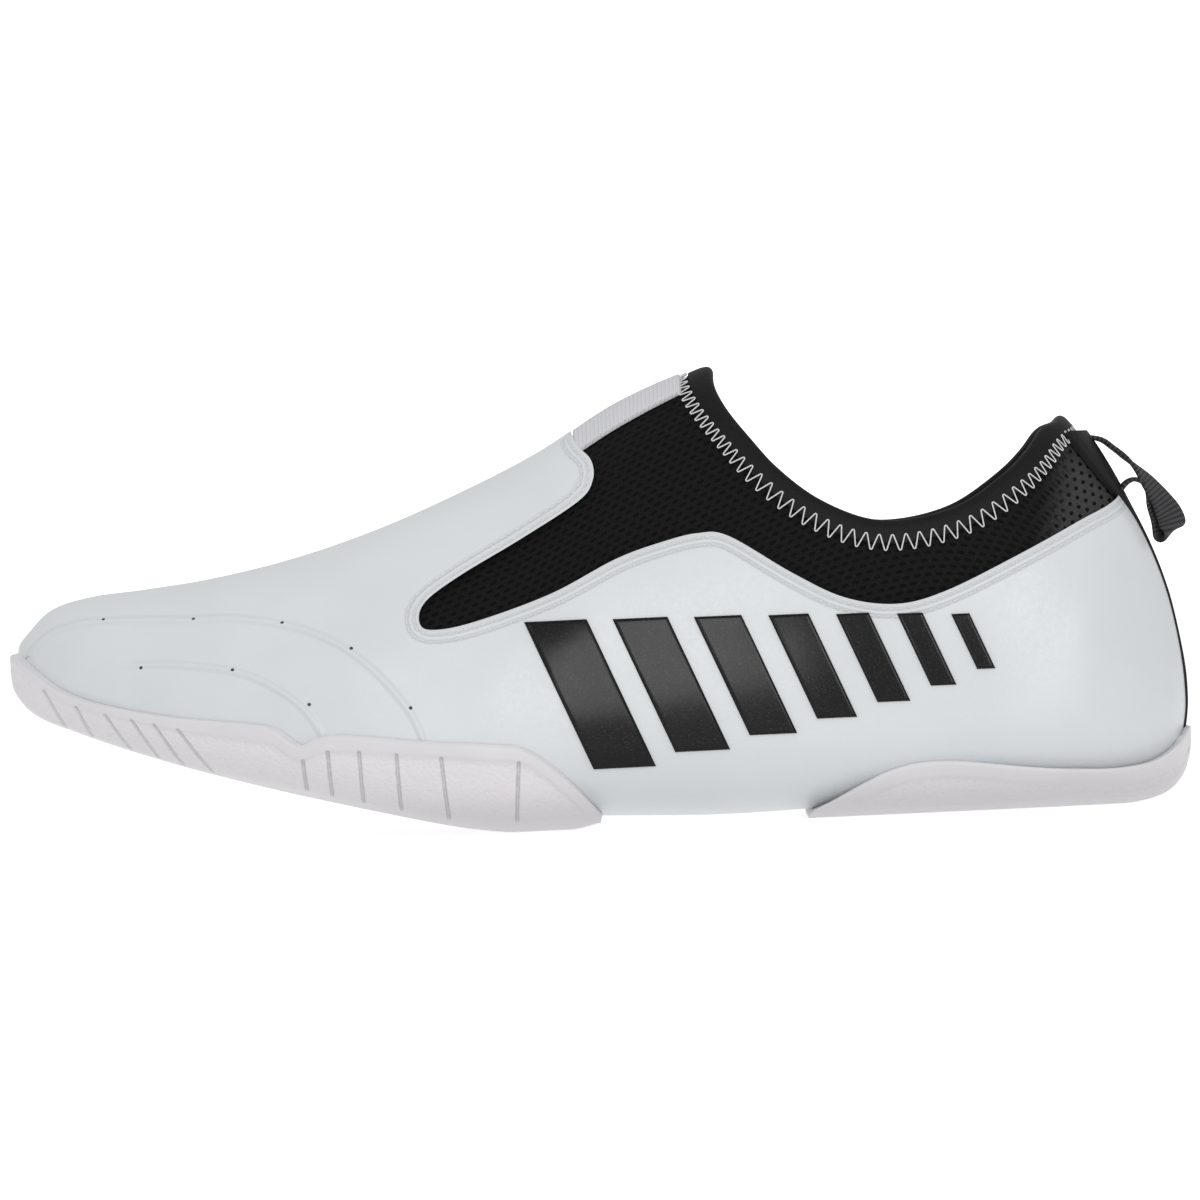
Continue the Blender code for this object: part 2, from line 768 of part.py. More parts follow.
def sweep(name, stations, profile, collection, material):
    """A body through a profile at each station of (place, across, up)."""
    mesh = bmesh.new()
    loops = []
    for place, across, up in stations:
        loops.append([mesh.verts.new(place + across * a + up * b) for a, b in profile])
    join_loops(mesh, loops)
    bmesh.ops.triangulate(mesh, faces=mesh.faces)
    bmesh.ops.recalc_face_normals(mesh, faces=mesh.faces)
    return new_object(name, mesh, collection, material)


def make_binding(parts, cutters, material):
    """The band folded over the collar's edge, with a leg inside and a leg outside the wall."""
    outer = LEATHER_WALL + CLEARANCE
    inner = outer + LINING_WALL
    fold = CLEARANCE + BINDING_WALL
    edge = side_edge(COLLAR_EDGE, 1)
    binding = shell("collar_binding", outer - fold, inner + fold, parts, material)
    crest = moved_line(edge, fold)
    foot = moved_line(edge, -BINDING_BAND)
    boolean(binding, prism("binding_crest", above(crest), -REACH, REACH, "Y", cutters), "DIFFERENCE")
    boolean(binding, prism("binding_foot", above(foot), -REACH, REACH, "Y", cutters), "INTERSECT")
    wall = shell("binding_wall", outer - CLEARANCE, inner + CLEARANCE, cutters)
    seat = moved_line(edge, CLEARANCE)
    boolean(wall, prism("binding_seat", above(seat), -REACH, REACH, "Y", cutters), "DIFFERENCE")
    boolean(binding, wall, "DIFFERENCE")


def heel_back(height, depth):
    """Place along the shoe of the heel's back line at a height, at a depth in the wall."""
    near = SLOPE_STEP * 5
    far = half_turn(COLLAR_BACK)
    for _ in range(30):
        half = (near + far) / 2
        point = form_point(half, math.pi / 2, depth)
        if point.z < height:
            near = half
        else:
            far = half
    return point.x


def make_pull_loop(parts, material):
    """The webbing loop at the heel, out from under the collar and back to the backstay."""
    top_z = collar_back_height()
    points = []
    for fold in LOOP_FOLDS:
        height = top_z + fold.rise * HEEL_HEIGHT
        seat = heel_back(height, -CLEARANCE) + CLEARANCE * 2 + LOOP_WALL / 2
        points.append((seat + fold.out * HEEL_HEIGHT, height, fold.twist))
    line = smooth_line(points, 2)
    half_width = LOOP_WIDTH / 2
    half_wall = LOOP_WALL / 2
    profile = (
        (half_width, -half_wall),
        (half_width, half_wall),
        (-half_width, half_wall),
        (-half_width, -half_wall),
    )
    stations = []
    for k, (x, z, twist) in enumerate(line):
        before = line[max(0, k - 1)]
        after = line[min(len(line) - 1, k + 1)]
        way = Vector((after[0] - before[0], 0.0, after[1] - before[1]))
        way.normalize()
        side = Vector((0.0, 1.0, 0.0))
        face = side.cross(way)
        angle = math.radians(twist)
        across = side * math.cos(angle) + face * math.sin(angle)
        up = face * math.cos(angle) - side * math.sin(angle)
        stations.append((Vector((x, 0.0, z)), across, up))
    sweep("pull_loop", stations, profile, parts, material)


def make_insole(parts, material):
    """The insole, shaped to the bottom of the hollow."""
    depth = LEATHER_WALL + CLEARANCE + LINING_WALL + CLEARANCE
    heel, rings, toe = form_rings(depth)
    lift = Vector((0.0, 0.0, INSOLE_THICKNESS))
    mesh = bmesh.new()
    loops = []
    for ring in rings[2:-3]:
        lower = [ring[k] for k in (-3, -2, -1, 0, 1, 2, 3)]
        upper = [lower[k] + lift for k in (5, 3, 1)]
        loops.append([mesh.verts.new(point) for point in lower + upper])
    join_loops(mesh, loops)
    bmesh.ops.triangulate(mesh, faces=mesh.faces)
    bmesh.ops.recalc_face_normals(mesh, faces=mesh.faces)
    new_object("insole", mesh, parts, material)


def sole_cavity(window, word, cutters):
    """The space that a sole piece leaves for the upper, with the plug that fills its window."""
    cavity = shell(f"{word}_cavity", -CLEARANCE, None, cutters)
    plug_depth = LEATHER_WALL + CLEARANCE + LINING_WALL
    outline = window_outline(window, CLEARANCE)
    plug = prism(f"{word}_plug", outline, -BELOW, window_top(window), "Z", cutters)
    boolean(plug, shell(f"{word}_plug_top", plug_depth, None, cutters), "DIFFERENCE")
    boolean(cavity, plug, "DIFFERENCE")
    return cavity


def tread_bars(name, places, cutters):
    """Shallow grooves across the underside, inside its rim."""
    mesh = bmesh.new()
    for place in places:
        half = half_turn(place)
        sizes = section_sizes(half)
        width = 2 * (sizes[2] - LASTING_MARGIN)
        bar = bmesh.ops.create_cube(mesh, size=1.0)
        rise = underside_height(place + TREAD_STEP) - underside_height(place - TREAD_STEP)
        lean = math.atan2(rise, 2 * TREAD_STEP * SOLE_LENGTH)
        for corner in bar["verts"]:
            x = corner.co.x * TREAD_WIDTH
            z = corner.co.z * 2 * TREAD_DEPTH
            y = corner.co.y * width
            corner.co = Vector((
                sole_x(place) + x * math.cos(lean) - z * math.sin(lean),
                sizes[1] + y,
                underside_height(place) - x * math.sin(lean) + z * math.cos(lean),
            ))
    return new_object(name, mesh, cutters)


def make_sole(name, rows, wall, band, window, ribs, treads, parts, cutters, material):
    """One sole piece: outer form, cavity for the upper, ribbed side and tread."""
    mesh = bmesh.new()
    closed_form(mesh, *sole_rings(rows, wall, band))
    sole = new_object(name, mesh, parts, material)
    edge = sole_edge(rows, wall, 1)
    if rows is FORE_EDGE:
        far = sole_x(1.0) - BELOW
        outline = [(far, -BELOW), (far, edge[0][1])] + edge + [(edge[-1][0], -BELOW)]
    else:
        far = sole_x(0.0) + BELOW
        outline = [(edge[0][0], -BELOW)] + edge + [(far, edge[-1][1]), (far, -BELOW)]
    boolean(sole, prism(f"{name}_edge", outline, -REACH, REACH, "Y", cutters), "INTERSECT")
    boolean(sole, sole_cavity(window, name, cutters), "DIFFERENCE")
    if ribs:
        boolean(sole, rib_grooves(ribs, rows, wall, band, cutters), "DIFFERENCE")
    boolean(sole, tread_bars(f"{name}_tread", treads, cutters), "DIFFERENCE")


def sole_side(x, height, side):
    """A point on the sole's side at a height, with the outward direction seen from above."""
    def across(place):
        sizes, floor = sole_section(half_turn((sole_x(0.0) - place) / SOLE_LENGTH))
        turn = turn_at_height(sizes, height)
        return sizes[1] + side * sizes[2] * math.cos(turn) ** (2.0 / sizes[6])
    way = Vector((2 * SIDE_STEP, across(x + SIDE_STEP) - across(x - SIDE_STEP), 0.0))
    way.normalize()
    outward = Vector((way.y, -way.x, 0.0)) * -side
    return Vector((x, across(x), height)), way, outward


def rib_grooves(ribs, rows, wall, band, cutters):
    """The grooves that divide the side panel of a sole piece into ribs."""
    mesh = bmesh.new()
    profile = ((0.0, -RIB_DEPTH), (RIB_WIDTH, RIB_DEPTH), (-RIB_WIDTH, RIB_DEPTH))
    for rib in ribs:
        top_x = sole_x(rib.along)
        foot_x = top_x + rib.foot * wall
        foot_along = (sole_x(0.0) - foot_x) / SOLE_LENGTH
        top_z = edge_height(rows, wall, rib.along) - LIP_HEIGHT - PANEL_STEP
        foot_z = underside_height(foot_along) + band * RIB_FOOT_SHARE
        for side in (-1, 1):
            loops = []
            for part in (0.0, 0.6, 1.0):
                x = top_x + (foot_x - top_x) * part
                place, way, outward = sole_side(x, top_z + (foot_z - top_z) * part, side)
                loops.append([mesh.verts.new(place + way * a + outward * b) for a, b in profile])
            join_loops(mesh, loops)
    bmesh.ops.recalc_face_normals(mesh, faces=mesh.faces)
    return new_object("rib_grooves", mesh, cutters)


def make_side_bars(parts, cutters, material):
    """A row of slanted bars on each side, smaller and smaller towards the heel."""
    centre_x = HEEL_SEAT - UPPER_LENGTH * FIRST_BAR
    for k in range(BAR_COUNT):
        shrink = 1.0 - k / (BAR_COUNT + 1.5)
        width = BAR_WIDTH * shrink
        height = BAR_HEIGHT * shrink ** BAR_SLIMMING
        middle_z = (BAR_MIDDLE + BAR_CLIMB * k) * INSTEP_HEIGHT
        lean = BAR_LEAN * height
        low = middle_z - height / 2
        high = middle_z + height / 2
        outline = [
            (centre_x - width / 2 + lean / 2, low),
            (centre_x + width / 2 + lean / 2, low),
            (centre_x + width / 2 - lean / 2, high),
            (centre_x - width / 2 - lean / 2, high),
        ]
        for side, word in ((-1, "lateral"), (1, "medial")):
            bar = shell(f"side_bar_{word}_{k + 1}", -CLEARANCE - OVERLAY_WALL, -CLEARANCE, parts, material)
            ends = sorted((0.0, side * REACH))
            cutter = prism(f"bar_cutter_{word}_{k + 1}", outline, ends[0], ends[1], "Y", cutters)
            boolean(bar, cutter, "INTERSECT")
        centre_x += width * BAR_STEP + BAR_GAP


def main():
    """Builds every piece of the shoe."""
    for old in list(bpy.data.objects):
        bpy.data.objects.remove(old)
    parts = bpy.data.collections.new("training_shoe")
    cutters = bpy.data.collections.new("cutters")
    for collection in (parts, cutters):
        bpy.context.scene.collection.children.link(collection)
    leather_white = make_material("leather_white", (0.80, 0.83, 0.85), 0.35)
    mesh_black = make_material("mesh_black", (0.02, 0.02, 0.022), 0.85)
    band_black = make_material("band_black", (0.018, 0.018, 0.02), 0.7)
    webbing_black = make_material("webbing_black", (0.05, 0.05, 0.055), 0.8)
    backstay_black = make_material("backstay_black", (0.015, 0.015, 0.017), 0.6)
    webbing_white = make_material("webbing_white", (0.80, 0.80, 0.82), 0.75)
    gloss_black = make_material("gloss_black", (0.01, 0.01, 0.012), 0.22, 0.4)
    rubber_pale = make_material("rubber_pale", (0.78, 0.73, 0.74), 0.55)
    foam_dark = make_material("foam_dark", (0.05, 0.05, 0.055), 0.8)

    make_sole("outsole_forefoot", FORE_EDGE, FORE_WALL, FORE_BAND, FORE_WINDOW, RIBS, FORE_TREAD,
              parts, cutters, rubber_pale)
    make_sole("outsole_heel", HEEL_EDGE, HEEL_WALL, HEEL_BAND, HEEL_WINDOW, (), HEEL_TREAD,
              parts, cutters, rubber_pale)
    make_upper(parts, cutters, mesh_black)
    make_leather(parts, cutters, leather_white)
    make_binding(parts, cutters, band_black)
    make_backstay(parts, cutters, backstay_black)
    make_instep_tab(parts, cutters, webbing_white)
    make_pull_loop(parts, webbing_black)
    make_insole(parts, foam_dark)
    make_side_bars(parts, cutters, gloss_black)


main()
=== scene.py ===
"""The finished look of a low slip-on training shoe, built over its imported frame."""
import math
from collections import namedtuple

import bpy
import numpy as np
from mathutils import Matrix, Vector


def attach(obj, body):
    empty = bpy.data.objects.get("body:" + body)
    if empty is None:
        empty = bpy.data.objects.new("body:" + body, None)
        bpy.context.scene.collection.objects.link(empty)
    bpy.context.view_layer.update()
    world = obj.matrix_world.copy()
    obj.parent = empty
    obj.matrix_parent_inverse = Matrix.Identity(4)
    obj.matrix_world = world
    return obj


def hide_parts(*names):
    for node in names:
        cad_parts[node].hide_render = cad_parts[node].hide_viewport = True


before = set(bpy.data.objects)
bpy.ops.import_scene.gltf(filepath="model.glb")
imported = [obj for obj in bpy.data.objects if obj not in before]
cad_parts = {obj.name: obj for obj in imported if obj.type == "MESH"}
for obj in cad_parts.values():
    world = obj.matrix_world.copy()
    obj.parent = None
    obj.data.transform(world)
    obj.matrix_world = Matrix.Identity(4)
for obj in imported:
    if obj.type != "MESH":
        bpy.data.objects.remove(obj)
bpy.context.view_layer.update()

# Sizes of the last and the sole, in metres, as in the part's source
UPPER_LENGTH = 0.2852
HEEL_SEAT = 0.0444
HEEL_WIDTH = 0.0670
BALL_WIDTH = 0.0940
HEEL_HEIGHT = 0.0910
INSTEP_HEIGHT = 0.1095
TOE_SPRING = 0.0450
ARCH_RISE = 0.0080
SOLE_THICKNESS = 0.0032
SOLE_GROWTH = 0.0020
FORE_WALL = 0.0220
HEEL_WALL = 0.0175
SOLE_LENGTH = UPPER_LENGTH + 2 * SOLE_GROWTH * 0.8
LEATHER_WALL = 0.0012
LINING_WALL = 0.0020
CLEARANCE = 0.0003
INSOLE_THICKNESS = 0.0030
BACKSTAY_TOP_WIDTH = 0.0250
BACKSTAY_FOOT_WIDTH = 0.0090
TAB_WIDTH = 0.0280
TAB_LENGTH = 0.0250
BAR_COUNT = 7
BAR_WIDTH = 0.0150
BAR_HEIGHT = 0.0360
BAR_GAP = 0.0055
LOOP_WIDTH = 0.0120
LOOP_WALL = 0.0011
BACKSTAY_FRONT = 0.130
BACKSTAY_WIDE = 0.070
BACKSTAY_NARROW = 0.030
REACH = 0.12

# Sizes of the finish
MESH_DEPTH = LEATHER_WALL + CLEARANCE
LIP_HEIGHT = 0.0038
PANEL_DEPTH = 0.0006
FORE_BAND = 0.0040
HEEL_BAND = 0.0022
TOE_LIP = 0.0021
TOE_BAND = 0.0009
BALL_BAND = 0.0026
STITCH_PITCH = 0.0021
STITCH_ROWS = (0.0012, 0.0030)
ZIGZAG_PITCH = 0.0034
ZIGZAG_CLOSE_PITCH = 0.0023
ZIGZAG_WIDTH = 0.0050
ZIGZAG_DROP = 0.0064
ZIGZAG_RISE = 0.0009
THREAD_RADIUS = 0.00018
THREAD_BEND = 0.0003
WELD_GAP = 0.00002
LIP_ROUND = 0.0011
LIP_TOP = 0.0479
TIP_ROUND = 0.0018
TIP_DROP = 0.0013
FORE_REAR_LIFT = 0.0018
FORE_END = 0.4995
HEEL_END = 0.3318
COLLAR_MIDDLE = 0.255
BAR_MIDDLE = 0.510
BAR_THICKNESS = 0.00062
BACKSTAY_FOOT = 0.0172
BACKSTAY_DROP = 0.0028
WEBBING_PITCH = 0.0011
SHELL_RINGS = 150
SHELL_TURNS = 112

# Sections of the last, heel to toe. Widths are shares of the local width, spring of TOE_SPRING,
# belly is where the widest line lies in the section, height is a share of the local height.
Section = namedtuple("Section", "along lateral medial spring belly height under over")
SECTIONS = (
    Section(0.000, 0.000, 0.000, 0.530, 0.00, 0.000, 2.2, 2.0),
    Section(0.004, 0.112, 0.112, 0.296, 0.47, 0.242, 2.2, 2.0),
    Section(0.014, 0.224, 0.224, 0.147, 0.40, 0.469, 2.4, 2.0),
    Section(0.034, 0.325, 0.321, 0.071, 0.33, 0.675, 2.6, 2.0),
    Section(0.062, 0.410, 0.403, 0.036, 0.28, 0.854, 2.9, 2.0),
    Section(0.093, 0.467, 0.460, 0.022, 0.24, 1.002, 3.0, 2.0),
    Section(0.138, 0.501, 0.488, 0.018, 0.20, 1.104, 3.0, 2.0),
    Section(0.198, 0.510, 0.487, 0.004, 0.18, 1.121, 3.0, 2.0),
    Section(0.268, 0.515, 0.468, -0.016, 0.18, 1.077, 3.0, 2.0),
    Section(0.338, 0.509, 0.426, -0.031, 0.18, 1.041, 2.9, 1.95),
    Section(0.408, 0.502, 0.387, -0.038, 0.19, 0.998, 2.8, 1.9),
    Section(0.478, 0.509, 0.376, -0.022, 0.19, 0.920, 2.8, 1.9),
    Section(0.548, 0.522, 0.399, -0.002, 0.21, 0.805, 2.9, 1.95),
    Section(0.619, 0.524, 0.442, 0.038, 0.23, 0.704, 3.0, 2.0),
    Section(0.689, 0.517, 0.485, 0.133, 0.24, 0.594, 3.0, 2.1),
    Section(0.759, 0.485, 0.504, 0.244, 0.26, 0.494, 3.0, 2.2),
    Section(0.829, 0.430, 0.486, 0.371, 0.27, 0.405, 2.8, 2.2),
    Section(0.888, 0.349, 0.439, 0.489, 0.28, 0.338, 2.6, 2.2),
    Section(0.934, 0.255, 0.379, 0.593, 0.29, 0.284, 2.4, 2.2),
    Section(0.969, 0.151, 0.297, 0.698, 0.35, 0.216, 2.2, 2.1),
    Section(0.991, 0.043, 0.207, 0.831, 0.50, 0.110, 2.0, 2.0),
    Section(1.000, -0.085, 0.085, 1.002, 0.00, 0.000, 2.0, 2.0),
)

# Underside of the sole, heel to toe; spring is a share of TOE_SPRING
Underside = namedtuple("Underside", "along spring")
UNDERSIDE = (
    Underside(0.000, 0.420),
    Underside(0.003, 0.255),
    Underside(0.009, 0.150),
    Underside(0.025, 0.050),
    Underside(0.052, 0.005),
    Underside(0.075, 0.000),
    Underside(0.575, 0.000),
    Underside(0.607, 0.022),
    Underside(0.638, 0.060),
    Underside(0.682, 0.127),
    Underside(0.764, 0.260),
    Underside(0.835, 0.389),
    Underside(0.895, 0.513),
    Underside(0.942, 0.624),
    Underside(0.971, 0.698),
    Underside(0.985, 0.756),
    Underside(0.993, 0.815),
    Underside(0.998, 0.875),
    Underside(1.000, 0.985),
)

# Edges seen from the side. Rise is a share of the section's own height at that place.
Edge = namedtuple("Edge", "along rise")
COLLAR_EDGE = (
    Edge(0.401, 1.100),
    Edge(0.402, 0.985),
    Edge(0.397, 0.932),
    Edge(0.386, 0.874),
    Edge(0.369, 0.807),
    Edge(0.349, 0.735),
    Edge(0.315, 0.648),
    Edge(0.272, 0.592),
    Edge(0.233, 0.587),
    Edge(0.187, 0.630),
    Edge(0.146, 0.732),
    Edge(0.122, 0.830),
    Edge(0.108, 0.915),
    Edge(0.094, 0.975),
    Edge(0.080, 1.100),
)
LEATHER_EDGE = (
    Edge(0.520, 1.060),
    Edge(0.514, 0.965),
    Edge(0.501, 0.895),
    Edge(0.500, 0.842),
    Edge(0.513, 0.810),
    Edge(0.562, 0.786),
    Edge(0.615, 0.745),
    Edge(0.645, 0.695),
    Edge(0.651, 0.634),
    Edge(0.641, 0.598),
    Edge(0.606, 0.592),
    Edge(0.540, 0.606),
    Edge(0.484, 0.627),
    Edge(0.445, 0.633),
    Edge(0.413, 0.632),
    Edge(0.387, 0.610),
    Edge(0.335, 0.507),
    Edge(0.292, 0.441),
    Edge(0.248, 0.421),
    Edge(0.207, 0.446),
    Edge(0.149, 0.540),
    Edge(0.090, 0.718),
    Edge(0.052, 0.960),
    Edge(0.044, 1.150),
)

# Top edges of the two sole pieces; wall is a share of FORE_WALL or HEEL_WALL above the underside
SoleEdge = namedtuple("SoleEdge", "along wall")
FORE_EDGE = (
    SoleEdge(0.499, -0.150),
    SoleEdge(0.503, 0.120),
    SoleEdge(0.513, 0.310),
    SoleEdge(0.529, 0.555),
    SoleEdge(0.550, 0.805),
    SoleEdge(0.570, 0.960),
    SoleEdge(0.593, 0.985),
    SoleEdge(0.634, 0.940),
    SoleEdge(0.668, 0.885),
    SoleEdge(0.715, 0.805),
    SoleEdge(0.737, 0.712),
    SoleEdge(0.753, 0.590),
    SoleEdge(0.774, 0.705),
    SoleEdge(0.793, 0.695),
    SoleEdge(0.825, 0.625),
    SoleEdge(0.858, 0.543),
    SoleEdge(0.900, 0.462),
    SoleEdge(0.935, 0.410),
    SoleEdge(0.961, 0.430),
    SoleEdge(0.985, 0.490),
    SoleEdge(0.996, 0.450),
)
HEEL_EDGE = (
    SoleEdge(0.003, 0.380),
    SoleEdge(0.010, 0.520),
    SoleEdge(0.023, 0.550),
    SoleEdge(0.041, 0.530),
    SoleEdge(0.067, 0.525),
    SoleEdge(0.095, 0.537),
    SoleEdge(0.138, 0.590),
    SoleEdge(0.195, 0.715),
    SoleEdge(0.218, 0.743),
    SoleEdge(0.240, 0.722),
    SoleEdge(0.262, 0.632),
    SoleEdge(0.284, 0.470),
    SoleEdge(0.308, 0.262),
    SoleEdge(0.329, 0.060),
    SoleEdge(0.332, -0.300),
)

# Ribs of the forefoot side; foot is how far the groove leans back, as a share of FORE_WALL
Rib = namedtuple("Rib", "along foot")
RIBS = (
    Rib(0.968, 0.22),
    Rib(0.940, 0.16),
    Rib(0.915, 0.26),
    Rib(0.892, 0.27),
    Rib(0.873, 0.29),
    Rib(0.853, 0.35),
    Rib(0.749, 0.02),
    Rib(0.728, 0.02),
    Rib(0.702, 0.02),
    Rib(0.671, 0.02),
    Rib(0.634, 0.05),
    Rib(0.570, -0.05),
)
FORE_TREAD = (0.56, 0.62, 0.68, 0.74, 0.80, 0.86)
HEEL_TREAD = (0.10, 0.22, 0.27)

# Pull loop: places in metres from the collar's back out and back to the heel, and its turn in degrees
Fold = namedtuple("Fold", "x y z turn")
LOOP_FOLDS = (
    Fold(0.0222, 0.0000, 0.0895, 0.0),
    Fold(0.0262, 0.0000, 0.0887, 0.0),
    Fold(0.0291, 0.0000, 0.0866, 0.0),
    Fold(0.0321, 0.0000, 0.0840, 0.0),
    Fold(0.0344, 0.0000, 0.0816, 4.0),
    Fold(0.0370, 0.0000, 0.0783, 12.0),
    Fold(0.0402, 0.0000, 0.0736, 20.0),
    Fold(0.0422, 0.0000, 0.0698, 28.0),
    Fold(0.0430, 0.0000, 0.0668, 32.0),
    Fold(0.0424, 0.0004, 0.0656, 33.0),
    Fold(0.0416, 0.0008, 0.0666, 33.0),
    Fold(0.0406, 0.0008, 0.0700, 28.0),
    Fold(0.0389, 0.0007, 0.0734, 20.0),
    Fold(0.0374, 0.0004, 0.0760, 10.0),
    Fold(0.0358, 0.0000, 0.0779, 2.0),
    Fold(0.0340, 0.0000, 0.0786, 0.0),
    Fold(0.0321, 0.0000, 0.0779, 0.0),
    Fold(0.0303, 0.0000, 0.0760, 0.0),
)

# Raised lines round the toe, seen from the side, in metres
OUTER_RIDGE = (
    (-0.2373, 0.0477), (-0.2321, 0.0524), (-0.2258, 0.0545), (-0.2195, 0.0552), (-0.2058, 0.0551),
    (-0.1970, 0.0547), (-0.1882, 0.0548), (-0.1821, 0.0542), (-0.1753, 0.0530), (-0.1667, 0.0504),
    (-0.1585, 0.0459), (-0.1511, 0.0394), (-0.1444, 0.0308), (-0.1414, 0.0241),
)
INNER_RIDGE = (
    (-0.2300, 0.0420), (-0.2140, 0.0441), (-0.2090, 0.0444), (-0.1999, 0.0441), (-0.1887, 0.0426),
    (-0.1808, 0.0401), (-0.1741, 0.0361), (-0.1694, 0.0320), (-0.1653, 0.0257),
)
# Vent holes beside the raised lines
VENTS = (
    (-0.2183, 0.0556), (-0.1960, 0.0549), (-0.1743, 0.0531), (-0.1578, 0.0464), (-0.1441, 0.0316),
    (-0.2090, 0.0437), (-0.1866, 0.0424), (-0.1684, 0.0334),
)
# Soft troughs and swells of the worn-in leather: place, lengths along and across, turn and depth
Crease = namedtuple("Crease", "x z length width turn depth")
CREASES = (
    Crease(-0.128, 0.046, 0.022, 0.0050, 62.0, 0.00035),
    Crease(-0.142, 0.040, 0.018, 0.0045, 52.0, 0.00025),
    Crease(-0.116, 0.036, 0.020, 0.0060, 74.0, 0.00025),
    Crease(-0.150, 0.062, 0.020, 0.0060, 35.0, 0.00030),
    Crease(-0.168, 0.052, 0.016, 0.0060, 40.0, -0.00030),
    Crease(-0.060, 0.052, 0.026, 0.0070, 20.0, 0.00030),
    Crease(0.010, 0.040, 0.020, 0.0080, 70.0, 0.00035),
    Crease(0.024, 0.052, 0.018, 0.0060, 80.0, -0.00025),
)


def ease(low, high, value):
    part = min(1.0, max(0.0, (value - low) / (high - low)))
    return part * part * (3.0 - 2.0 * part)


def local_width(along):
    return HEEL_WIDTH + (BALL_WIDTH - HEEL_WIDTH) * ease(0.25, 0.65, along)


def local_height(along):
    return HEEL_HEIGHT + (INSTEP_HEIGHT - HEEL_HEIGHT) * ease(0.08, 0.32, along)


def half_turn(along):
    return math.acos(1.0 - 2.0 * min(1.0, max(0.0, along)))


def share_at(half):
    return (1.0 - math.cos(half)) / 2.0


def smooth_row(rows, half):
    """All columns of a table at a half turn, on smooth curves through its rows."""
    places = [half_turn(row.along) for row in rows]
    last = len(rows) - 1
    k = 0
    while k < last - 1 and places[k + 1] < half:
        k += 1
    span = places[k + 1] - places[k]
    part = (half - places[k]) / span

    def slope(index, column):
        before = max(0, index - 1)
        after = min(last, index + 1)
        return (rows[after][column] - rows[before][column]) / (places[after] - places[before])

    values = []
    for column in range(len(rows[0])):
        start = rows[k][column]
        end = rows[k + 1][column]
        leave = slope(k, column) * span
        arrive = slope(k + 1, column) * span
        square = part * part
        cube = square * part
        value = (2 * cube - 3 * square + 1) * start + (cube - 2 * square + part) * leave
        value += (3 * square - 2 * cube) * end + (cube - square) * arrive
        values.append(value)
    return values


def underside_height(along):
    spring = smooth_row(UNDERSIDE, half_turn(along))[1]
    level = UNDERSIDE[5].along <= along <= UNDERSIDE[6].along
    return 0.0 if level else max(0.0, spring * TOE_SPRING)


def section_sizes(half):
    """Sizes of the last's section at a half turn, in metres."""
    row = smooth_row(SECTIONS, half)
    along = share_at(half)
    lateral = row[1] * local_width(along)
    medial = row[2] * local_width(along)
    low = SOLE_THICKNESS + row[3] * TOE_SPRING
    height = row[5] * local_height(along)
    belly = low + row[4] * height
    return along, (medial - lateral) / 2, (medial + lateral) / 2, low, belly, low + height, row[6], row[7]


def power(value, exponent):
    return math.copysign(abs(value) ** exponent, value)


def section_point(sizes, turn, grow=0.0):
    """A point of a section; turn is the angle from the medial side, over the top."""
    along, centre, half_width, low, belly, top, under, over = sizes
    cosine = math.cos(turn)
    sine = math.sin(turn)
    exponent = over if sine > 0 else under
    rise = (top - belly) if sine > 0 else (belly - low)
    reach = power(cosine, 2.0 / exponent)
    across = centre + (half_width + grow) * reach
    up = belly + (rise + grow) * power(sine, 2.0 / exponent)
    if sine < 0 and cosine > 0:
        arch = ease(0.20, 0.38, along) * (1.0 - ease(0.42, 0.58, along))
        up += ARCH_RISE * arch * reach * reach * min(1.0, -sine * 1.6)
    return across, up


def upper_x(half):
    return HEEL_SEAT - UPPER_LENGTH * share_at(half)


def half_at(x):
    return half_turn((HEEL_SEAT - x) / UPPER_LENGTH)


def crease_depth(x, z):
    """How far the leather sinks in at a place of the side view."""
    sunk = 0.0
    for crease in CREASES:
        turn = math.radians(crease.turn)
        along = (x - crease.x) * math.cos(turn) + (z - crease.z) * math.sin(turn)
        across = (z - crease.z) * math.cos(turn) - (x - crease.x) * math.sin(turn)
        reach = (along / crease.length) ** 2 + (across / crease.width) ** 2
        if reach < 9.0:
            sunk += crease.depth * math.exp(-reach)
    return sunk


def skin(half, turn, depth=0.0):
    """A point of the shoe's skin, at a depth in its wall, with the outward direction there."""
    step = 0.004
    half = min(math.pi - 0.002, max(0.002, half))
    sizes = section_sizes(half)
    place = Vector((upper_x(half), *section_point(sizes, turn)))
    back = Vector((upper_x(half - step), *section_point(section_sizes(max(0.0, half - step)), turn)))
    front = Vector((upper_x(half + step), *section_point(section_sizes(min(math.pi, half + step)), turn)))
    swing = math.radians(2.0)
    left = Vector((place.x, *section_point(sizes, turn - swing)))
    right = Vector((place.x, *section_point(sizes, turn + swing)))
    outward = (front - back).cross(right - left)
    outward.normalize()
    return place - outward * (depth + crease_depth(place.x, place.z)), outward


def turn_at_height(sizes, height):
    """The turn on the medial side where a section reaches a height."""
    low, belly, top, under, over = sizes[3:]
    if height < belly:
        share = min(1.0, (belly - height) / (belly - low))
        return -math.asin(share ** (under / 2.0))
    share = min(1.0, (height - belly) / max(top - belly, 1e-6))
    return math.asin(share ** (over / 2.0))


def side_spot(x, z, side):
    """Half turn and turn of the skin at a place of the side view; side is -1 on the outer side."""
    half = half_at(x)
    turn = turn_at_height(section_sizes(half), z)
    return half, turn if side > 0 else math.pi - turn


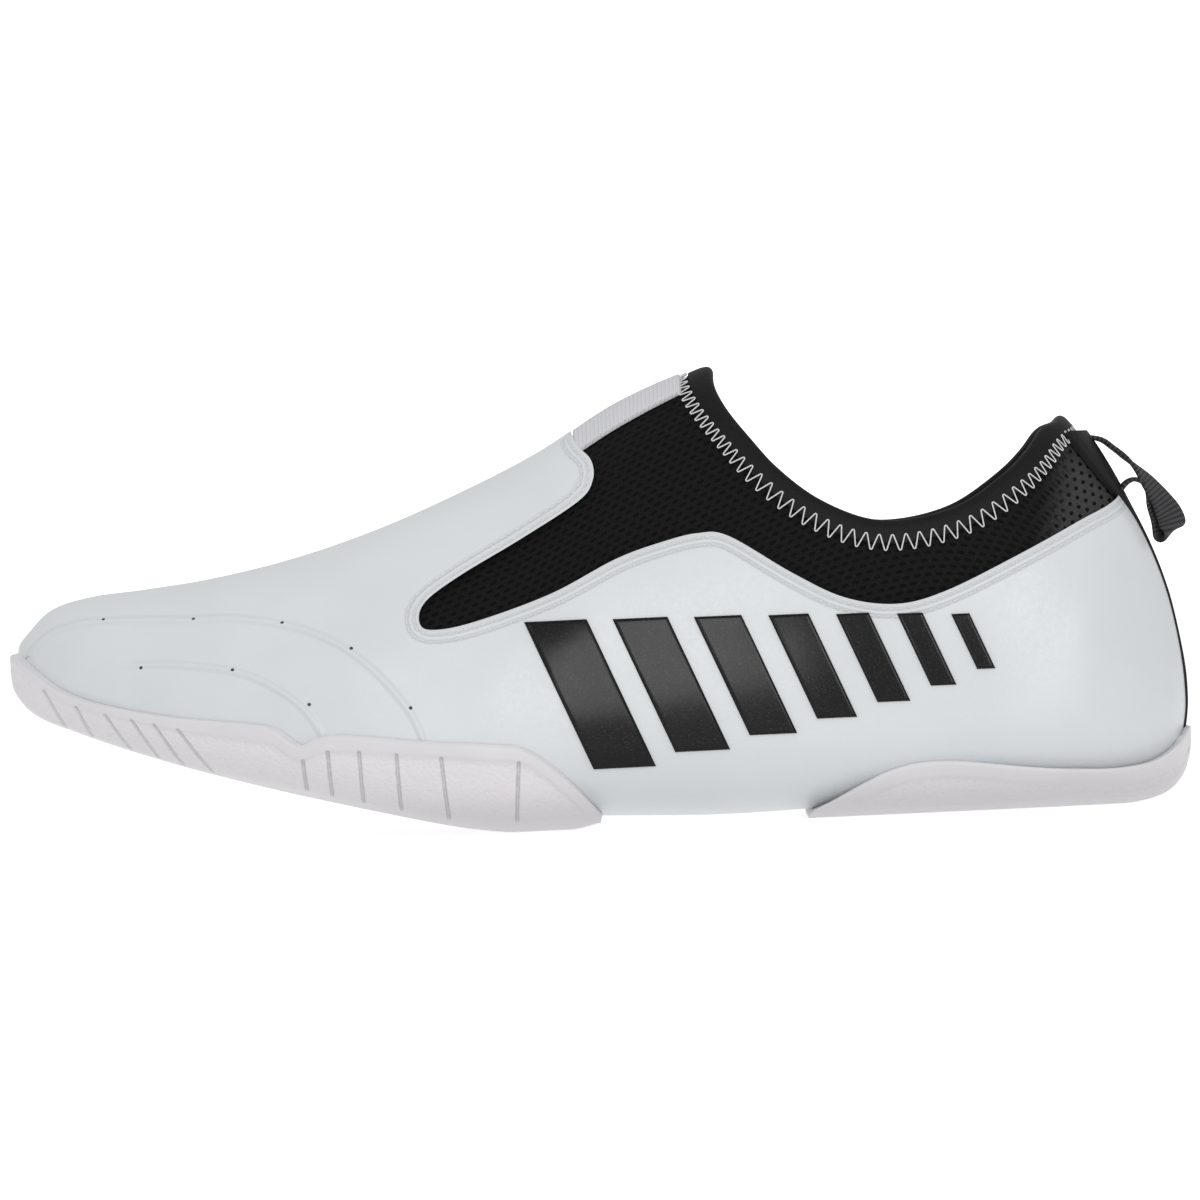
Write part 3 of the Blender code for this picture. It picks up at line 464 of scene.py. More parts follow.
def spot_near(place):
    """Half turn and turn of the skin nearest to a place on or near it."""
    half = half_at(place.x)
    sizes = section_sizes(half)
    centre, half_width, low, belly, top, under, over = sizes[1:]
    exponent = over if place.z > belly else under
    rise = (top - belly) if place.z > belly else (belly - low)
    flat = power((place.y - centre) / max(half_width, 1e-6), exponent / 2.0)
    steep = power((place.z - belly) / max(rise, 1e-6), exponent / 2.0)
    return half, math.atan2(steep, flat)


def smooth_line(points, steps):
    """A smooth line through points, with some steps between each two."""
    line = []
    last = len(points) - 1
    for k in range(last):
        before = points[max(0, k - 1)]
        start = points[k]
        end = points[k + 1]
        after = points[min(last, k + 2)]
        for step in range(steps):
            part = step / steps
            place = []
            for a, b, c, d in zip(before, start, end, after):
                bend = (2 * a - 5 * b + 4 * c - d) * part ** 2 + (3 * b - a - 3 * c + d) * part ** 3
                place.append(b + 0.5 * ((c - a) * part + bend))
            line.append(tuple(place))
    line.append(tuple(points[-1]))
    return line


def side_edge(rows, steps):
    """A side view edge in metres, from a table of rises."""
    points = []
    for row in rows:
        half = half_turn(row.along)
        sizes = section_sizes(half)
        points.append((upper_x(half), sizes[3] + row.rise * (sizes[5] - sizes[3])))
    return smooth_line(points, steps)


def skin_path(line, side, inset, depth):
    """A side view line laid on one side of the skin and moved in by inset, as places with directions."""
    places = [Vector(skin(*side_spot(x, z, side))[0]) for x, z in line]
    path = []
    for k, place in enumerate(places):
        way = places[min(len(places) - 1, k + 1)] - places[max(0, k - 1)]
        outward = skin(*spot_near(place))[1]
        inward = outward.cross(way) * side
        inward.normalize()
        path.append(skin(*spot_near(place + inward * inset), depth))
    return path


# Pieces and cutters

def add_object(name, points, faces):
    data = bpy.data.meshes.new(name)
    data.from_pydata([tuple(point) for point in points], [], faces)
    data.update()
    thing = bpy.data.objects.new(name, data)
    bpy.context.scene.collection.objects.link(thing)
    return thing


def cut(piece, cutter, operation):
    """Cuts a piece at once and takes the cutter away."""
    modifier = piece.modifiers.new("cut", "BOOLEAN")
    modifier.operation = operation
    modifier.object = cutter
    modifier.solver = "EXACT"
    make_plain(piece)
    bpy.data.objects.remove(cutter)


def make_plain(piece):
    """Turns a piece's modifiers into plain mesh."""
    graph = bpy.context.evaluated_depsgraph_get()
    data = bpy.data.meshes.new_from_object(piece.evaluated_get(graph), depsgraph=graph)
    piece.modifiers.clear()
    piece.data = data


def smooth(piece, degrees):
    piece.data.shade_smooth()
    piece.data.set_sharp_from_angle(angle=math.radians(degrees))


def prism(outline, low, high, axis):
    """A cutter with a flat outline, drawn out along Y or along Z."""
    count = len(outline)
    area = sum(outline[k - 1][0] * outline[k][1] - outline[k][0] * outline[k - 1][1] for k in range(count))
    if (area > 0) != (axis == "Z"):
        outline = outline[::-1]
    points = []
    for level in (low, high):
        points += [(a, level, b) if axis == "Y" else (a, b, level) for a, b in outline]
    faces = [tuple(reversed(range(count))), tuple(range(count, 2 * count))]
    for k in range(count):
        after = (k + 1) % count
        faces.append((k, after, count + after, count + k))
    return add_object("cutter", points, faces)


def above(edge):
    """The outline of everything above a side view edge."""
    top = REACH + INSTEP_HEIGHT
    return list(edge) + [(edge[-1][0], top), (edge[0][0], top)]


def shell(name, outer_depth, inner_depth):
    """A closed hollow skin between two depths of the wall."""
    points = []
    faces = []
    for depth, flip in ((outer_depth, False), (inner_depth, True)):
        base = len(points)
        points.append((HEEL_SEAT - depth, 0.0, section_sizes(0.0)[4]))
        toe = section_sizes(math.pi)
        points.append((HEEL_SEAT - UPPER_LENGTH + depth, toe[1], toe[4]))
        for k in range(1, SHELL_RINGS):
            for place, outward in SKIN[k - 1]:
                points.append(tuple(place - outward * depth))
        made = []
        for j in range(SHELL_TURNS):
            after = (j + 1) % SHELL_TURNS
            made.append((base, base + 2 + j, base + 2 + after))
            last = base + 2 + (SHELL_RINGS - 2) * SHELL_TURNS
            made.append((base + 1, last + after, last + j))
            for k in range(SHELL_RINGS - 2):
                lower = base + 2 + k * SHELL_TURNS
                upper = lower + SHELL_TURNS
                made.append((lower + j, upper + j, upper + after, lower + after))
        faces += [face[::-1] for face in made] if flip else made
    return add_object(name, points, faces)


def patch(name, spot, columns, rows, thick, rim, base_depth, swell=0.0):
    """A thin piece laid on the skin, thicker by swell at its far end: spot gives its places."""
    points = []
    for level in (1, 0):
        for r in range(rows + 1):
            for c in range(columns + 1):
                s = share_at(math.pi * c / columns)
                t = share_at(math.pi * r / rows)
                half, turn, room = spot(s, t)
                edge = min(1.0, room / rim)
                body = thick + swell * ease(0.72, 0.95, t)
                lift = body * math.sqrt(max(0.0, 1.0 - (1.0 - edge) ** 2)) if level else 0.0
                points.append(skin(half, turn, base_depth - lift)[0])
    faces = []
    wide = columns + 1
    lower = wide * (rows + 1)
    for r in range(rows):
        for c in range(columns):
            a = r * wide + c
            quad = (a, a + 1, a + wide + 1, a + wide)
            faces.append(quad)
            faces.append(tuple(lower + k for k in reversed(quad)))
    rim_loop = [c for c in range(wide)]
    rim_loop += [r * wide + columns for r in range(1, rows + 1)]
    rim_loop += [rows * wide + c for c in range(columns - 1, -1, -1)]
    rim_loop += [r * wide for r in range(rows - 1, 0, -1)]
    for k, here in enumerate(rim_loop):
        after = rim_loop[(k + 1) % len(rim_loop)]
        faces.append((after, here, lower + here, lower + after))
    piece = add_object(name, points, faces)
    outward = skin(*spot(0.5, 0.5)[:2])[1]
    piece.data.update()
    if piece.data.polygons[(rows // 2 * columns + columns // 2) * 2].normal.dot(outward) < 0:
        piece.data.flip_normals()
    return piece


def sweep(name, stations, profile, closed):
    """A body through a closed profile at each station of (place, across, up)."""
    count = len(profile)
    points = []
    for place, across, up in stations:
        points += [place + across * a + up * b for a, b in profile]
    faces = []
    spans = len(stations) if closed else len(stations) - 1
    for k in range(spans):
        here = k * count
        there = (k + 1) % len(stations) * count
        for j in range(count):
            after = (j + 1) % count
            faces.append((here + j, here + after, there + after, there + j))
    if not closed:
        faces.append(tuple(reversed(range(count))))
        faces.append(tuple(range((len(stations) - 1) * count, len(stations) * count)))
    piece = add_object(name, points, faces)
    outward_first(piece)
    return piece


def outward_first(piece):
    """Turns the faces of a closed body outwards, by the sign of its volume."""
    data = piece.data
    data.calc_loop_triangles()
    points = np.empty(len(data.vertices) * 3)
    data.vertices.foreach_get("co", points)
    points = points.reshape(-1, 3)
    corners = np.empty(len(data.loop_triangles) * 3, dtype=np.int32)
    data.loop_triangles.foreach_get("vertices", corners)
    a, b, c = (points[corners.reshape(-1, 3)[:, k]] for k in range(3))
    if np.einsum("ij,ij->i", a, np.cross(b, c)).sum() < 0:
        data.flip_normals()


# Numbers that a finish reads, kept on a piece's points

def points_of(piece):
    data = piece.data
    flat = np.empty(len(data.vertices) * 3)
    data.vertices.foreach_get("co", flat)
    return flat.reshape(-1, 3)


def keep_number(piece, name, values):
    layer = piece.data.attributes.new(name, "FLOAT", "POINT")
    layer.data.foreach_set("value", np.asarray(values, dtype=np.float32))


def distance_to(points, line):
    """Distance of points from a line in two or three dimensions; in two it is signed by the side."""
    points = np.asarray(points)
    line = np.asarray(line)
    best = np.full(len(points), 1e9)
    sign = np.ones(len(points))
    for start, end in zip(line, line[1:]):
        way = end - start
        share = np.clip((points - start) @ way / (way @ way), 0.0, 1.0)
        gap = points - start - share[:, None] * way
        reach = np.sqrt((gap ** 2).sum(axis=1))
        closer = reach < best
        best[closer] = reach[closer]
        if points.shape[1] == 2:
            turned = way[0] * gap[:, 1] - way[1] * gap[:, 0]
            sign[closer] = np.where(turned[closer] < 0, -1.0, 1.0)
    return best * sign


SIZE_HALVES = np.linspace(0.0, math.pi, 900)
SIZE_TABLE = np.array([section_sizes(half) for half in SIZE_HALVES])
GIRTH_TURNS = np.linspace(-math.pi / 2, 1.5 * math.pi, 181)


def girth_table():
    """Length round the skin from the ridge of the instep, for halves and turns."""
    table = []
    for sizes in SIZE_TABLE[::6]:
        ring = np.array([section_point(tuple(sizes), turn) for turn in GIRTH_TURNS])
        steps = np.sqrt((np.diff(ring, axis=0) ** 2).sum(axis=1))
        run = np.concatenate(([0.0], np.cumsum(steps)))
        table.append(run - run[len(run) // 2])
    return np.array(table)


def corner_points(piece):
    """The point under each corner of a piece's faces."""
    corners = np.empty(len(piece.data.loops), dtype=np.int32)
    piece.data.loops.foreach_get("vertex_index", corners)
    return corners


def keep_skin_map(piece):
    """Lays the map of the skin on a piece: metres along the shoe and round it from the ridge."""
    points = points_of(piece)
    share = np.clip((HEEL_SEAT - points[:, 0]) / UPPER_LENGTH, 0.0, 1.0)
    half = np.arccos(1.0 - 2.0 * share)
    centre, width, low, belly, top, under, over = (
        np.interp(half, SIZE_HALVES, SIZE_TABLE[:, column]) for column in range(1, 8))
    high = points[:, 2] > belly
    exponent = np.where(high, over, under) / 2.0
    rise = np.maximum(np.where(high, top - belly, belly - low), 1e-5)
    flat = (points[:, 1] - centre) / np.maximum(width, 1e-5)
    steep = (points[:, 2] - belly) / rise
    turn = np.arctan2(np.sign(steep) * np.abs(steep) ** exponent, np.sign(flat) * np.abs(flat) ** exponent)
    turn = np.where(turn < -math.pi / 2, turn + 2 * math.pi, turn)
    row = half / math.pi * (len(GIRTHS) - 1)
    low_row = np.clip(row.astype(int), 0, len(GIRTHS) - 2)
    column = (turn + math.pi / 2) / (2 * math.pi) * (len(GIRTH_TURNS) - 1)
    low_column = np.clip(column.astype(int), 0, len(GIRTH_TURNS) - 2)
    a = row - low_row
    b = column - low_column
    girth = (GIRTHS[low_row, low_column] * (1 - a) * (1 - b) + GIRTHS[low_row + 1, low_column] * a * (1 - b)
             + GIRTHS[low_row, low_column + 1] * (1 - a) * b + GIRTHS[low_row + 1, low_column + 1] * a * b)
    keep_grid_map(piece, "skin", np.stack((points[:, 0], girth), axis=1))


def keep_grid_map(piece, name, pairs):
    """Lays a map on a piece from two numbers for each of its points, in metres."""
    layer = piece.data.uv_layers.new(name=name)
    layer.data.foreach_set("uv", np.asarray(pairs, dtype=np.float32)[corner_points(piece)].ravel())


def sole_x(along):
    return HEEL_SEAT + SOLE_GROWTH * 0.6 - SOLE_LENGTH * along


def edge_height(line, along):
    """Height of a sole piece's top edge at a share of the sole's length."""
    for before, after in zip(line, line[1:]):
        if along <= after[0]:
            part = max(0.0, (along - before[0]) / (after[0] - before[0]))
            return before[1] + (after[1] - before[1]) * part
    return line[-1][1]


def edge_line(rows, wall):
    return smooth_line([(row.along, underside_height(row.along) + row.wall * wall) for row in rows], 6)


def lip_height(along):
    return LIP_HEIGHT - (LIP_HEIGHT - TOE_LIP) * ease(0.79, 0.90, along)


def side_band(along):
    """Height of the smooth band below the forefoot's side panel."""
    band = TOE_BAND + (BALL_BAND - TOE_BAND) * (1.0 - ease(0.78, 0.84, along))
    return band + (FORE_BAND - BALL_BAND) * (1.0 - ease(0.56, 0.62, along))


def rib_lines():
    """Top and foot of each rib's groove, seen from the side."""
    line = edge_line(FORE_EDGE, FORE_WALL)
    lines = []
    for rib in RIBS:
        top_x = sole_x(rib.along)
        foot_x = top_x + rib.foot * FORE_WALL
        foot_along = (sole_x(0.0) - foot_x) / SOLE_LENGTH
        top_z = edge_height(line, rib.along) - lip_height(rib.along)
        foot_z = underside_height(foot_along) + side_band(foot_along) * 0.8
        lines.append(((top_x, top_z), (foot_x, foot_z)))
    return lines


# Finishes

class Finish:
    """A named finish whose nodes are added in short calls."""

    def __init__(self, name, colour, roughness, **more):
        self.material = bpy.data.materials.new(name)
        self.material.use_nodes = True
        self.tree = self.material.node_tree
        self.shader = self.tree.nodes["Principled BSDF"]
        self.set("Base Color", (*colour, 1.0))
        self.set("Roughness", roughness)
        for label, value in more.items():
            self.set(label.replace("_", " ").title().replace("Ior", "IOR"), value)

    def set(self, label, value):
        self.shader.inputs[label].default_value = value

    def node(self, kind, **settings):
        made = self.tree.nodes.new(kind)
        for label, value in settings.items():
            setattr(made, label, value)
        return made

    def feed(self, socket, value):
        if isinstance(value, bpy.types.NodeSocket):
            self.tree.links.new(value, socket)
        else:
            socket.default_value = value

    def math(self, operation, first, second=0.0, third=0.0):
        made = self.node("ShaderNodeMath", operation=operation)
        for socket, value in zip(made.inputs, (first, second, third)):
            self.feed(socket, value)
        return made.outputs[0]

    def between(self, value, low, high, start=0.0, end=1.0):
        """Smoothly from start to end as a value goes from low to high."""
        made = self.node("ShaderNodeMapRange", interpolation_type="SMOOTHSTEP")
        labels = ("Value", "From Min", "From Max", "To Min", "To Max")
        for label, given in zip(labels, (value, low, high, start, end)):
            self.feed(made.inputs[label], given)
        return made.outputs["Result"]

    def bell(self, value, middle, width):
        """One at the middle, falling smoothly to nothing a width away."""
        away = self.math("ABSOLUTE", self.math("SUBTRACT", value, middle))
        return self.between(away, 0.0, width, 1.0, 0.0)

    def number(self, name):
        return self.node("ShaderNodeAttribute", attribute_name=name).outputs["Fac"]

    def place(self):
        return self.node("ShaderNodeTexCoord").outputs["Object"]

    def map(self, name, turn=0.0):
        made = self.node("ShaderNodeUVMap", uv_map=name).outputs["UV"]
        if turn:
            turned = self.node("ShaderNodeMapping")
            self.feed(turned.inputs["Vector"], made)
            turned.inputs["Rotation"].default_value = (0.0, 0.0, math.radians(turn))
            made = turned.outputs["Vector"]
        return made

    def split(self, vector):
        made = self.node("ShaderNodeSeparateXYZ")
        self.feed(made.inputs[0], vector)
        return made.outputs[0], made.outputs[1]

    def side_view(self):
        made = self.node("ShaderNodeSeparateXYZ")
        self.feed(made.inputs[0], self.place())
        return made.outputs[0], made.outputs[2]

    def noise(self, vector, size, detail=3.0):
        made = self.node("ShaderNodeTexNoise")
        self.feed(made.inputs["Vector"], vector)
        made.inputs["Scale"].default_value = 1.0 / size
        made.inputs["Detail"].default_value = detail
        return made.outputs["Fac"]

    def cells(self, vector, size, feature="DISTANCE_TO_EDGE"):
        made = self.node("ShaderNodeTexVoronoi", feature=feature)
        self.feed(made.inputs["Vector"], vector)
        made.inputs["Scale"].default_value = 1.0 / size
        return made.outputs["Distance"]

    def wave(self, value, pitch):
        """From 0 to 1 and back over each pitch."""
        turned = self.math("SINE", self.math("MULTIPLY", value, math.tau / pitch))
        return self.math("MULTIPLY_ADD", turned, 0.5, 0.5)

    def colour(self, factor, first, second):
        made = self.node("ShaderNodeMix", data_type="RGBA")
        self.feed(made.inputs[0], factor)
        for socket, value in ((made.inputs[6], first), (made.inputs[7], second)):
            self.feed(socket, value if isinstance(value, bpy.types.NodeSocket) else (*value, 1.0))
        self.tree.links.new(made.outputs[2], self.shader.inputs["Base Color"])
        return made.outputs[2]

    def height(self, value, strength=1.0):
        """Relief in metres."""
        made = self.node("ShaderNodeBump")
        made.inputs["Distance"].default_value = 1.0
        made.inputs["Strength"].default_value = strength
        self.feed(made.inputs["Height"], value)
        self.tree.links.new(made.outputs["Normal"], self.shader.inputs["Normal"])

    def rough(self, value):
        self.tree.links.new(value, self.shader.inputs["Roughness"])

    def total(self, *values):
        result = values[0]
        for value in values[1:]:
            result = self.math("ADD", result, value)
        return result

    def times(self, value, factor):
        return self.math("MULTIPLY", value, factor)


def leather_finish():
    it = Finish("leather_white_smooth", (0.80, 0.84, 0.87), 0.36, coat_weight=0.12)
    it.set("Coat Roughness", 0.3)
    place = it.place()
    grain = it.cells(place, 0.00055)
    pores = it.noise(place, 0.0011, 4.0)
    swell = it.noise(place, 0.014, 2.0)
    seam = it.number("seam")
    outer = it.number("outer_ridge")
    inner = it.number("inner_ridge")
    troughs = it.total(*(it.bell(seam, row, 0.0008) for row in STITCH_ROWS))
    rounding = it.between(seam, 0.0, 0.0009, 1.0, 0.0)
    fade = it.between(it.split(place)[0], -0.2165, -0.2080)
    ridges = it.total(it.bell(outer, 0.0, 0.0014), it.times(it.bell(inner, 0.0, 0.0014), fade))
    relief = it.total(
        it.times(grain, 0.000030), it.times(pores, 0.000020), it.times(swell, 0.00022),
        it.times(troughs, -0.00028), it.times(rounding, -0.00035), it.times(ridges, 0.00042),
    )
    it.height(relief)
    it.rough(it.between(pores, 0.3, 0.7, 0.32, 0.42))
    tint = it.between(it.noise(place, 0.03, 3.0), 0.35, 0.65)
    body = it.colour(tint, (0.80, 0.835, 0.855), (0.83, 0.86, 0.88))
    # Painted shade: the leather is coloured darker along the sunk stitch troughs
    it.colour(it.times(troughs, 0.3), body, (0.56, 0.59, 0.62))
    return it.material


def leather_edge_finish():
    it = Finish("leather_cut_edge", (0.72, 0.69, 0.62), 0.8)
    fibres = it.noise(it.place(), 0.0004, 5.0)
    it.colour(fibres, (0.60, 0.57, 0.50), (0.82, 0.80, 0.74))
    it.height(it.times(fibres, 0.00012))
    return it.material


def hole_rows(it, u, v, wide, tall, long, high):
    """Rows of staggered holes: their pitch along and across, and their half sizes as shares of it."""
    row = it.math("DIVIDE", v, tall)
    shift = it.times(it.math("MODULO", it.math("ABSOLUTE", it.math("FLOOR", row)), 2.0), 0.5)
    across = it.math("SUBTRACT", it.math("FRACT", it.math("ADD", it.math("DIVIDE", u, wide), shift)), 0.5)
    up = it.math("SUBTRACT", it.math("FRACT", row), 0.5)
    a = it.math("POWER", it.math("ABSOLUTE", it.math("DIVIDE", across, long)), 2.2)
    b = it.math("POWER", it.math("ABSOLUTE", it.math("DIVIDE", up, high)), 2.2)
    return it.between(it.math("ADD", a, b), 0.75, 1.35, 1.0, 0.0)


def mesh_finish():
    it = Finish("spacer_mesh_black", (0.01, 0.01, 0.011), 0.6, specular_ior_level=0.1)
    u, v = it.split(it.map("skin", 12.0))
    x, z = it.side_view()
    heel = it.between(it.math("ADD", x, it.times(z, -0.25)), -0.010, 0.000)
    slits = hole_rows(it, u, v, 0.0027, 0.0018, 0.28, 0.21)
    turned_u = it.math("ADD", it.times(x, 0.80), it.times(z, 0.60))
    turned_v = it.math("SUBTRACT", it.times(z, 0.80), it.times(x, 0.60))
    rounds = hole_rows(it, turned_u, turned_v, 0.0024, 0.0019, 0.19, 0.24)
    hole = it.total(it.times(slits, it.math("SUBTRACT", 1.0, heel)), it.times(rounds, heel))
    knit = it.wave(it.math("ADD", u, it.times(v, 0.6)), 0.00042)
    yarn = it.noise(it.map("skin"), 0.0005, 4.0)
    it.height(it.total(it.times(hole, -0.00050), it.times(knit, 0.00008), it.times(yarn, 0.00008)))
    body = it.colour(yarn, (0.002, 0.002, 0.0024), (0.013, 0.013, 0.014))
    body = it.colour(it.times(heel, yarn), body, (0.10, 0.10, 0.103))
    it.colour(hole, body, (0.0006, 0.0006, 0.0007))
    return it.material


def lining_finish():
    it = Finish("lining_black", (0.008, 0.008, 0.009), 0.9, specular_ior_level=0.1)
    weave = it.noise(it.map("skin"), 0.0006, 4.0)
    it.colour(weave, (0.004, 0.004, 0.0045), (0.014, 0.014, 0.015))
    it.height(it.times(weave, 0.0001))
    return it.material


def band_finish():
    it = Finish("stretch_band_black", (0.008, 0.008, 0.009), 0.5, specular_ior_level=0.15)
    along, across = it.split(it.map("band"))
    knit = it.total(it.times(it.wave(along, 0.0006), 0.6), it.times(it.wave(across, 0.0005), 0.4))
    fuzz = it.noise(it.place(), 0.0007, 4.0)
    it.height(it.total(it.times(knit, 0.00005), it.times(fuzz, 0.00005)))
    it.colour(fuzz, (0.003, 0.003, 0.0035), (0.011, 0.011, 0.012))
    return it.material


def webbing_finish(name, map_name, dark, light):
    it = Finish(name, light, 0.72, specular_ior_level=0.15)
    along, across = it.split(it.map(map_name))
    ribs = it.wave(along, WEBBING_PITCH)
    threads = it.wave(it.math("ADD", across, it.times(along, 0.5)), 0.00045)
    fuzz = it.noise(it.place(), 0.0005, 4.0)
    it.height(it.total(it.times(ribs, 0.00022), it.times(threads, 0.00006), it.times(fuzz, 0.00006)))
    # Colour follows the ribs: painted shade in the grooves between them, while on the black strap the
    # lighter rib tops are also its lighter threads; the fuzz adds random tone
    shade = it.total(it.times(ribs, 0.55), it.times(fuzz, 0.45))
    it.colour(shade, dark, light)
    return it.material


def gloss_finish():
    it = Finish("gloss_film_black", (0.004, 0.004, 0.005), 0.2, coat_weight=0.32, specular_ior_level=0.05)
    it.set("Coat Roughness", 0.17)
    place = it.place()
    grain = it.cells(place, 0.0010)
    wrinkles = it.noise(place, 0.0022, 3.0)
    folds = it.noise(place, 0.011, 2.0)
    it.height(it.total(it.times(it.between(grain, 0.0, 0.3), 0.00005), it.times(wrinkles, 0.00013),
                       it.times(folds, 0.0003)))
    it.rough(it.between(wrinkles, 0.3, 0.7, 0.14, 0.30))
    it.colour(folds, (0.0015, 0.0015, 0.0018), (0.003, 0.003, 0.0036))
    return it.material


def rubber_finish():
    it = Finish("rubber_pale_moulded", (0.78, 0.76, 0.785), 0.5, subsurface_weight=0.05)
    it.set("Subsurface Radius", (0.004, 0.002, 0.002))
    place = it.place()
    x, z = it.side_view()
    panel = it.number("panel")
    pebbles = it.cells(place, 0.00095, "F1")
    fine = it.noise(place, 0.0012, 4.0)
    cloud = it.noise(place, 0.02, 3.0)
    marks = []
    for top, foot in rib_lines():
        slope = (foot[0] - top[0]) / (top[1] - foot[1])
        across = it.math("SUBTRACT", it.math("MULTIPLY_ADD", z, slope, x), top[0] + slope * top[1])
        line = it.bell(across, 0.0, 0.00062)
        low = it.between(z, foot[1] - 0.0004, foot[1] + 0.0005)
        high = it.between(z, top[1] - 0.0002, top[1] + 0.0005, 1.0, 0.0)
        marks.append(it.times(it.times(line, low), high))
    groove = it.total(*marks)
    it.height(it.total(it.times(it.times(pebbles, panel), -0.00022), it.times(fine, 0.000025),
                       it.times(groove, -0.00045)))
    it.rough(it.between(panel, 0.0, 1.0, 0.42, 0.6))
    # Painted shade: the rubber is coloured darker towards the floor, below 13 mm of height
    shade = it.between(z, 0.003, 0.013, 0.55, 0.0)
    body = it.colour(it.between(cloud, 0.35, 0.65), (0.835, 0.815, 0.838), (0.860, 0.840, 0.863))
    body = it.colour(it.times(panel, 0.8), body, (0.93, 0.905, 0.93))
    body = it.colour(shade, body, (0.70, 0.68, 0.70))
    # Painted shade: the rib grooves are coloured darker as well as sunk
    it.colour(it.times(groove, 0.32), body, (0.48, 0.46, 0.47))
    return it.material


def plain_cloth(name, dark, light, roughness):
    it = Finish(name, light, roughness, specular_ior_level=0.25)
    place = it.place()
    weave = it.noise(place, 0.0006, 4.0)
    it.height(it.times(weave, 0.0001))
    it.colour(weave, dark, light)
    return it.material


def thread_finish():
    it = Finish("thread_white", (0.86, 0.87, 0.88), 0.6, sheen_weight=0.3)
    twist = it.noise(it.place(), 0.00025, 2.0)
    it.height(it.times(twist, 0.00006))
    it.colour(twist, (0.72, 0.73, 0.75), (0.92, 0.92, 0.93))
    return it.material


def vent_finish():
    it = Finish("vent_dark", (0.05, 0.055, 0.06), 0.9)
    it.colour(it.noise(it.place(), 0.0003, 2.0), (0.03, 0.03, 0.035), (0.09, 0.09, 0.10))
    return it.material


# Geometry trees for what repeats

def new_tree(name, inputs):
    tree = bpy.data.node_groups.new(name, "GeometryNodeTree")
    tree.interface.new_socket("Path", in_out="INPUT", socket_type="NodeSocketGeometry")
    for label, kind, value in inputs:
        socket = tree.interface.new_socket(label, in_out="INPUT", socket_type=kind)
        if value is not None:
            socket.default_value = value
    tree.interface.new_socket("Geometry", in_out="OUTPUT", socket_type="NodeSocketGeometry")
    return tree, tree.nodes.new("NodeGroupInput").outputs, tree.nodes.new("NodeGroupOutput").inputs[0]


def join(tree, *pairs):
    for source, target in pairs:
        tree.links.new(source, target)


def add_node(tree, kind, given=None, **settings):
    """A node with its settings, and fixed values for some of its sockets."""
    made = tree.nodes.new(kind)
    for label, value in settings.items():
        setattr(made, label, value)
    for label, value in (given or {}).items():
        made.inputs[label].default_value = value
    return made


def named_direction(tree, name):
    made = add_node(tree, "GeometryNodeInputNamedAttribute", {"Name": name}, data_type="FLOAT_VECTOR")
    return made.outputs["Attribute"]


def close_tree(tree, geometry, finish, leave):
    real = tree.nodes.new("GeometryNodeRealizeInstances")
    soft = tree.nodes.new("GeometryNodeSetShadeSmooth")
    dressed = tree.nodes.new("GeometryNodeSetMaterial")
    join(tree, (geometry, real.inputs["Geometry"]), (real.outputs[0], soft.inputs["Geometry"]),
         (soft.outputs[0], dressed.inputs["Geometry"]), (finish, dressed.inputs["Material"]),
         (dressed.outputs[0], leave))


def stitch_row_tree():
    """Rounded stitches along a path, flat on the wall under it."""
    tree, given, leave = new_tree("stitch_row", (
        ("Pitch", "NodeSocketFloat", STITCH_PITCH),
        ("Size", "NodeSocketVector", (0.0016, 0.0005, 0.0004)),
        ("Thread", "NodeSocketMaterial", None),
    ))
    curve = add_node(tree, "GeometryNodeMeshToCurve")
    spaced = add_node(tree, "GeometryNodeResampleCurve", mode="LENGTH")
    bead = add_node(tree, "GeometryNodeMeshUVSphere", {"Segments": 8, "Rings": 6, "Radius": 0.5})
    tangent = add_node(tree, "GeometryNodeInputTangent")
    ahead = add_node(tree, "FunctionNodeAlignRotationToVector", axis="X")
    upright = add_node(tree, "FunctionNodeAlignRotationToVector", axis="Z", pivot_axis="X")
    placed = add_node(tree, "GeometryNodeInstanceOnPoints")
    join(tree, (given["Path"], curve.inputs["Mesh"]), (curve.outputs["Curve"], spaced.inputs["Curve"]),
         (given["Pitch"], spaced.inputs["Length"]), (spaced.outputs["Curve"], placed.inputs["Points"]),
         (bead.outputs["Mesh"], placed.inputs["Instance"]), (given["Size"], placed.inputs["Scale"]),
         (tangent.outputs["Tangent"], ahead.inputs["Vector"]),
         (ahead.outputs["Rotation"], upright.inputs["Rotation"]),
         (named_direction(tree, "outward"), upright.inputs["Vector"]),
         (upright.outputs["Rotation"], placed.inputs["Rotation"]))
    close_tree(tree, placed.outputs["Instances"], given["Thread"], leave)
    return tree


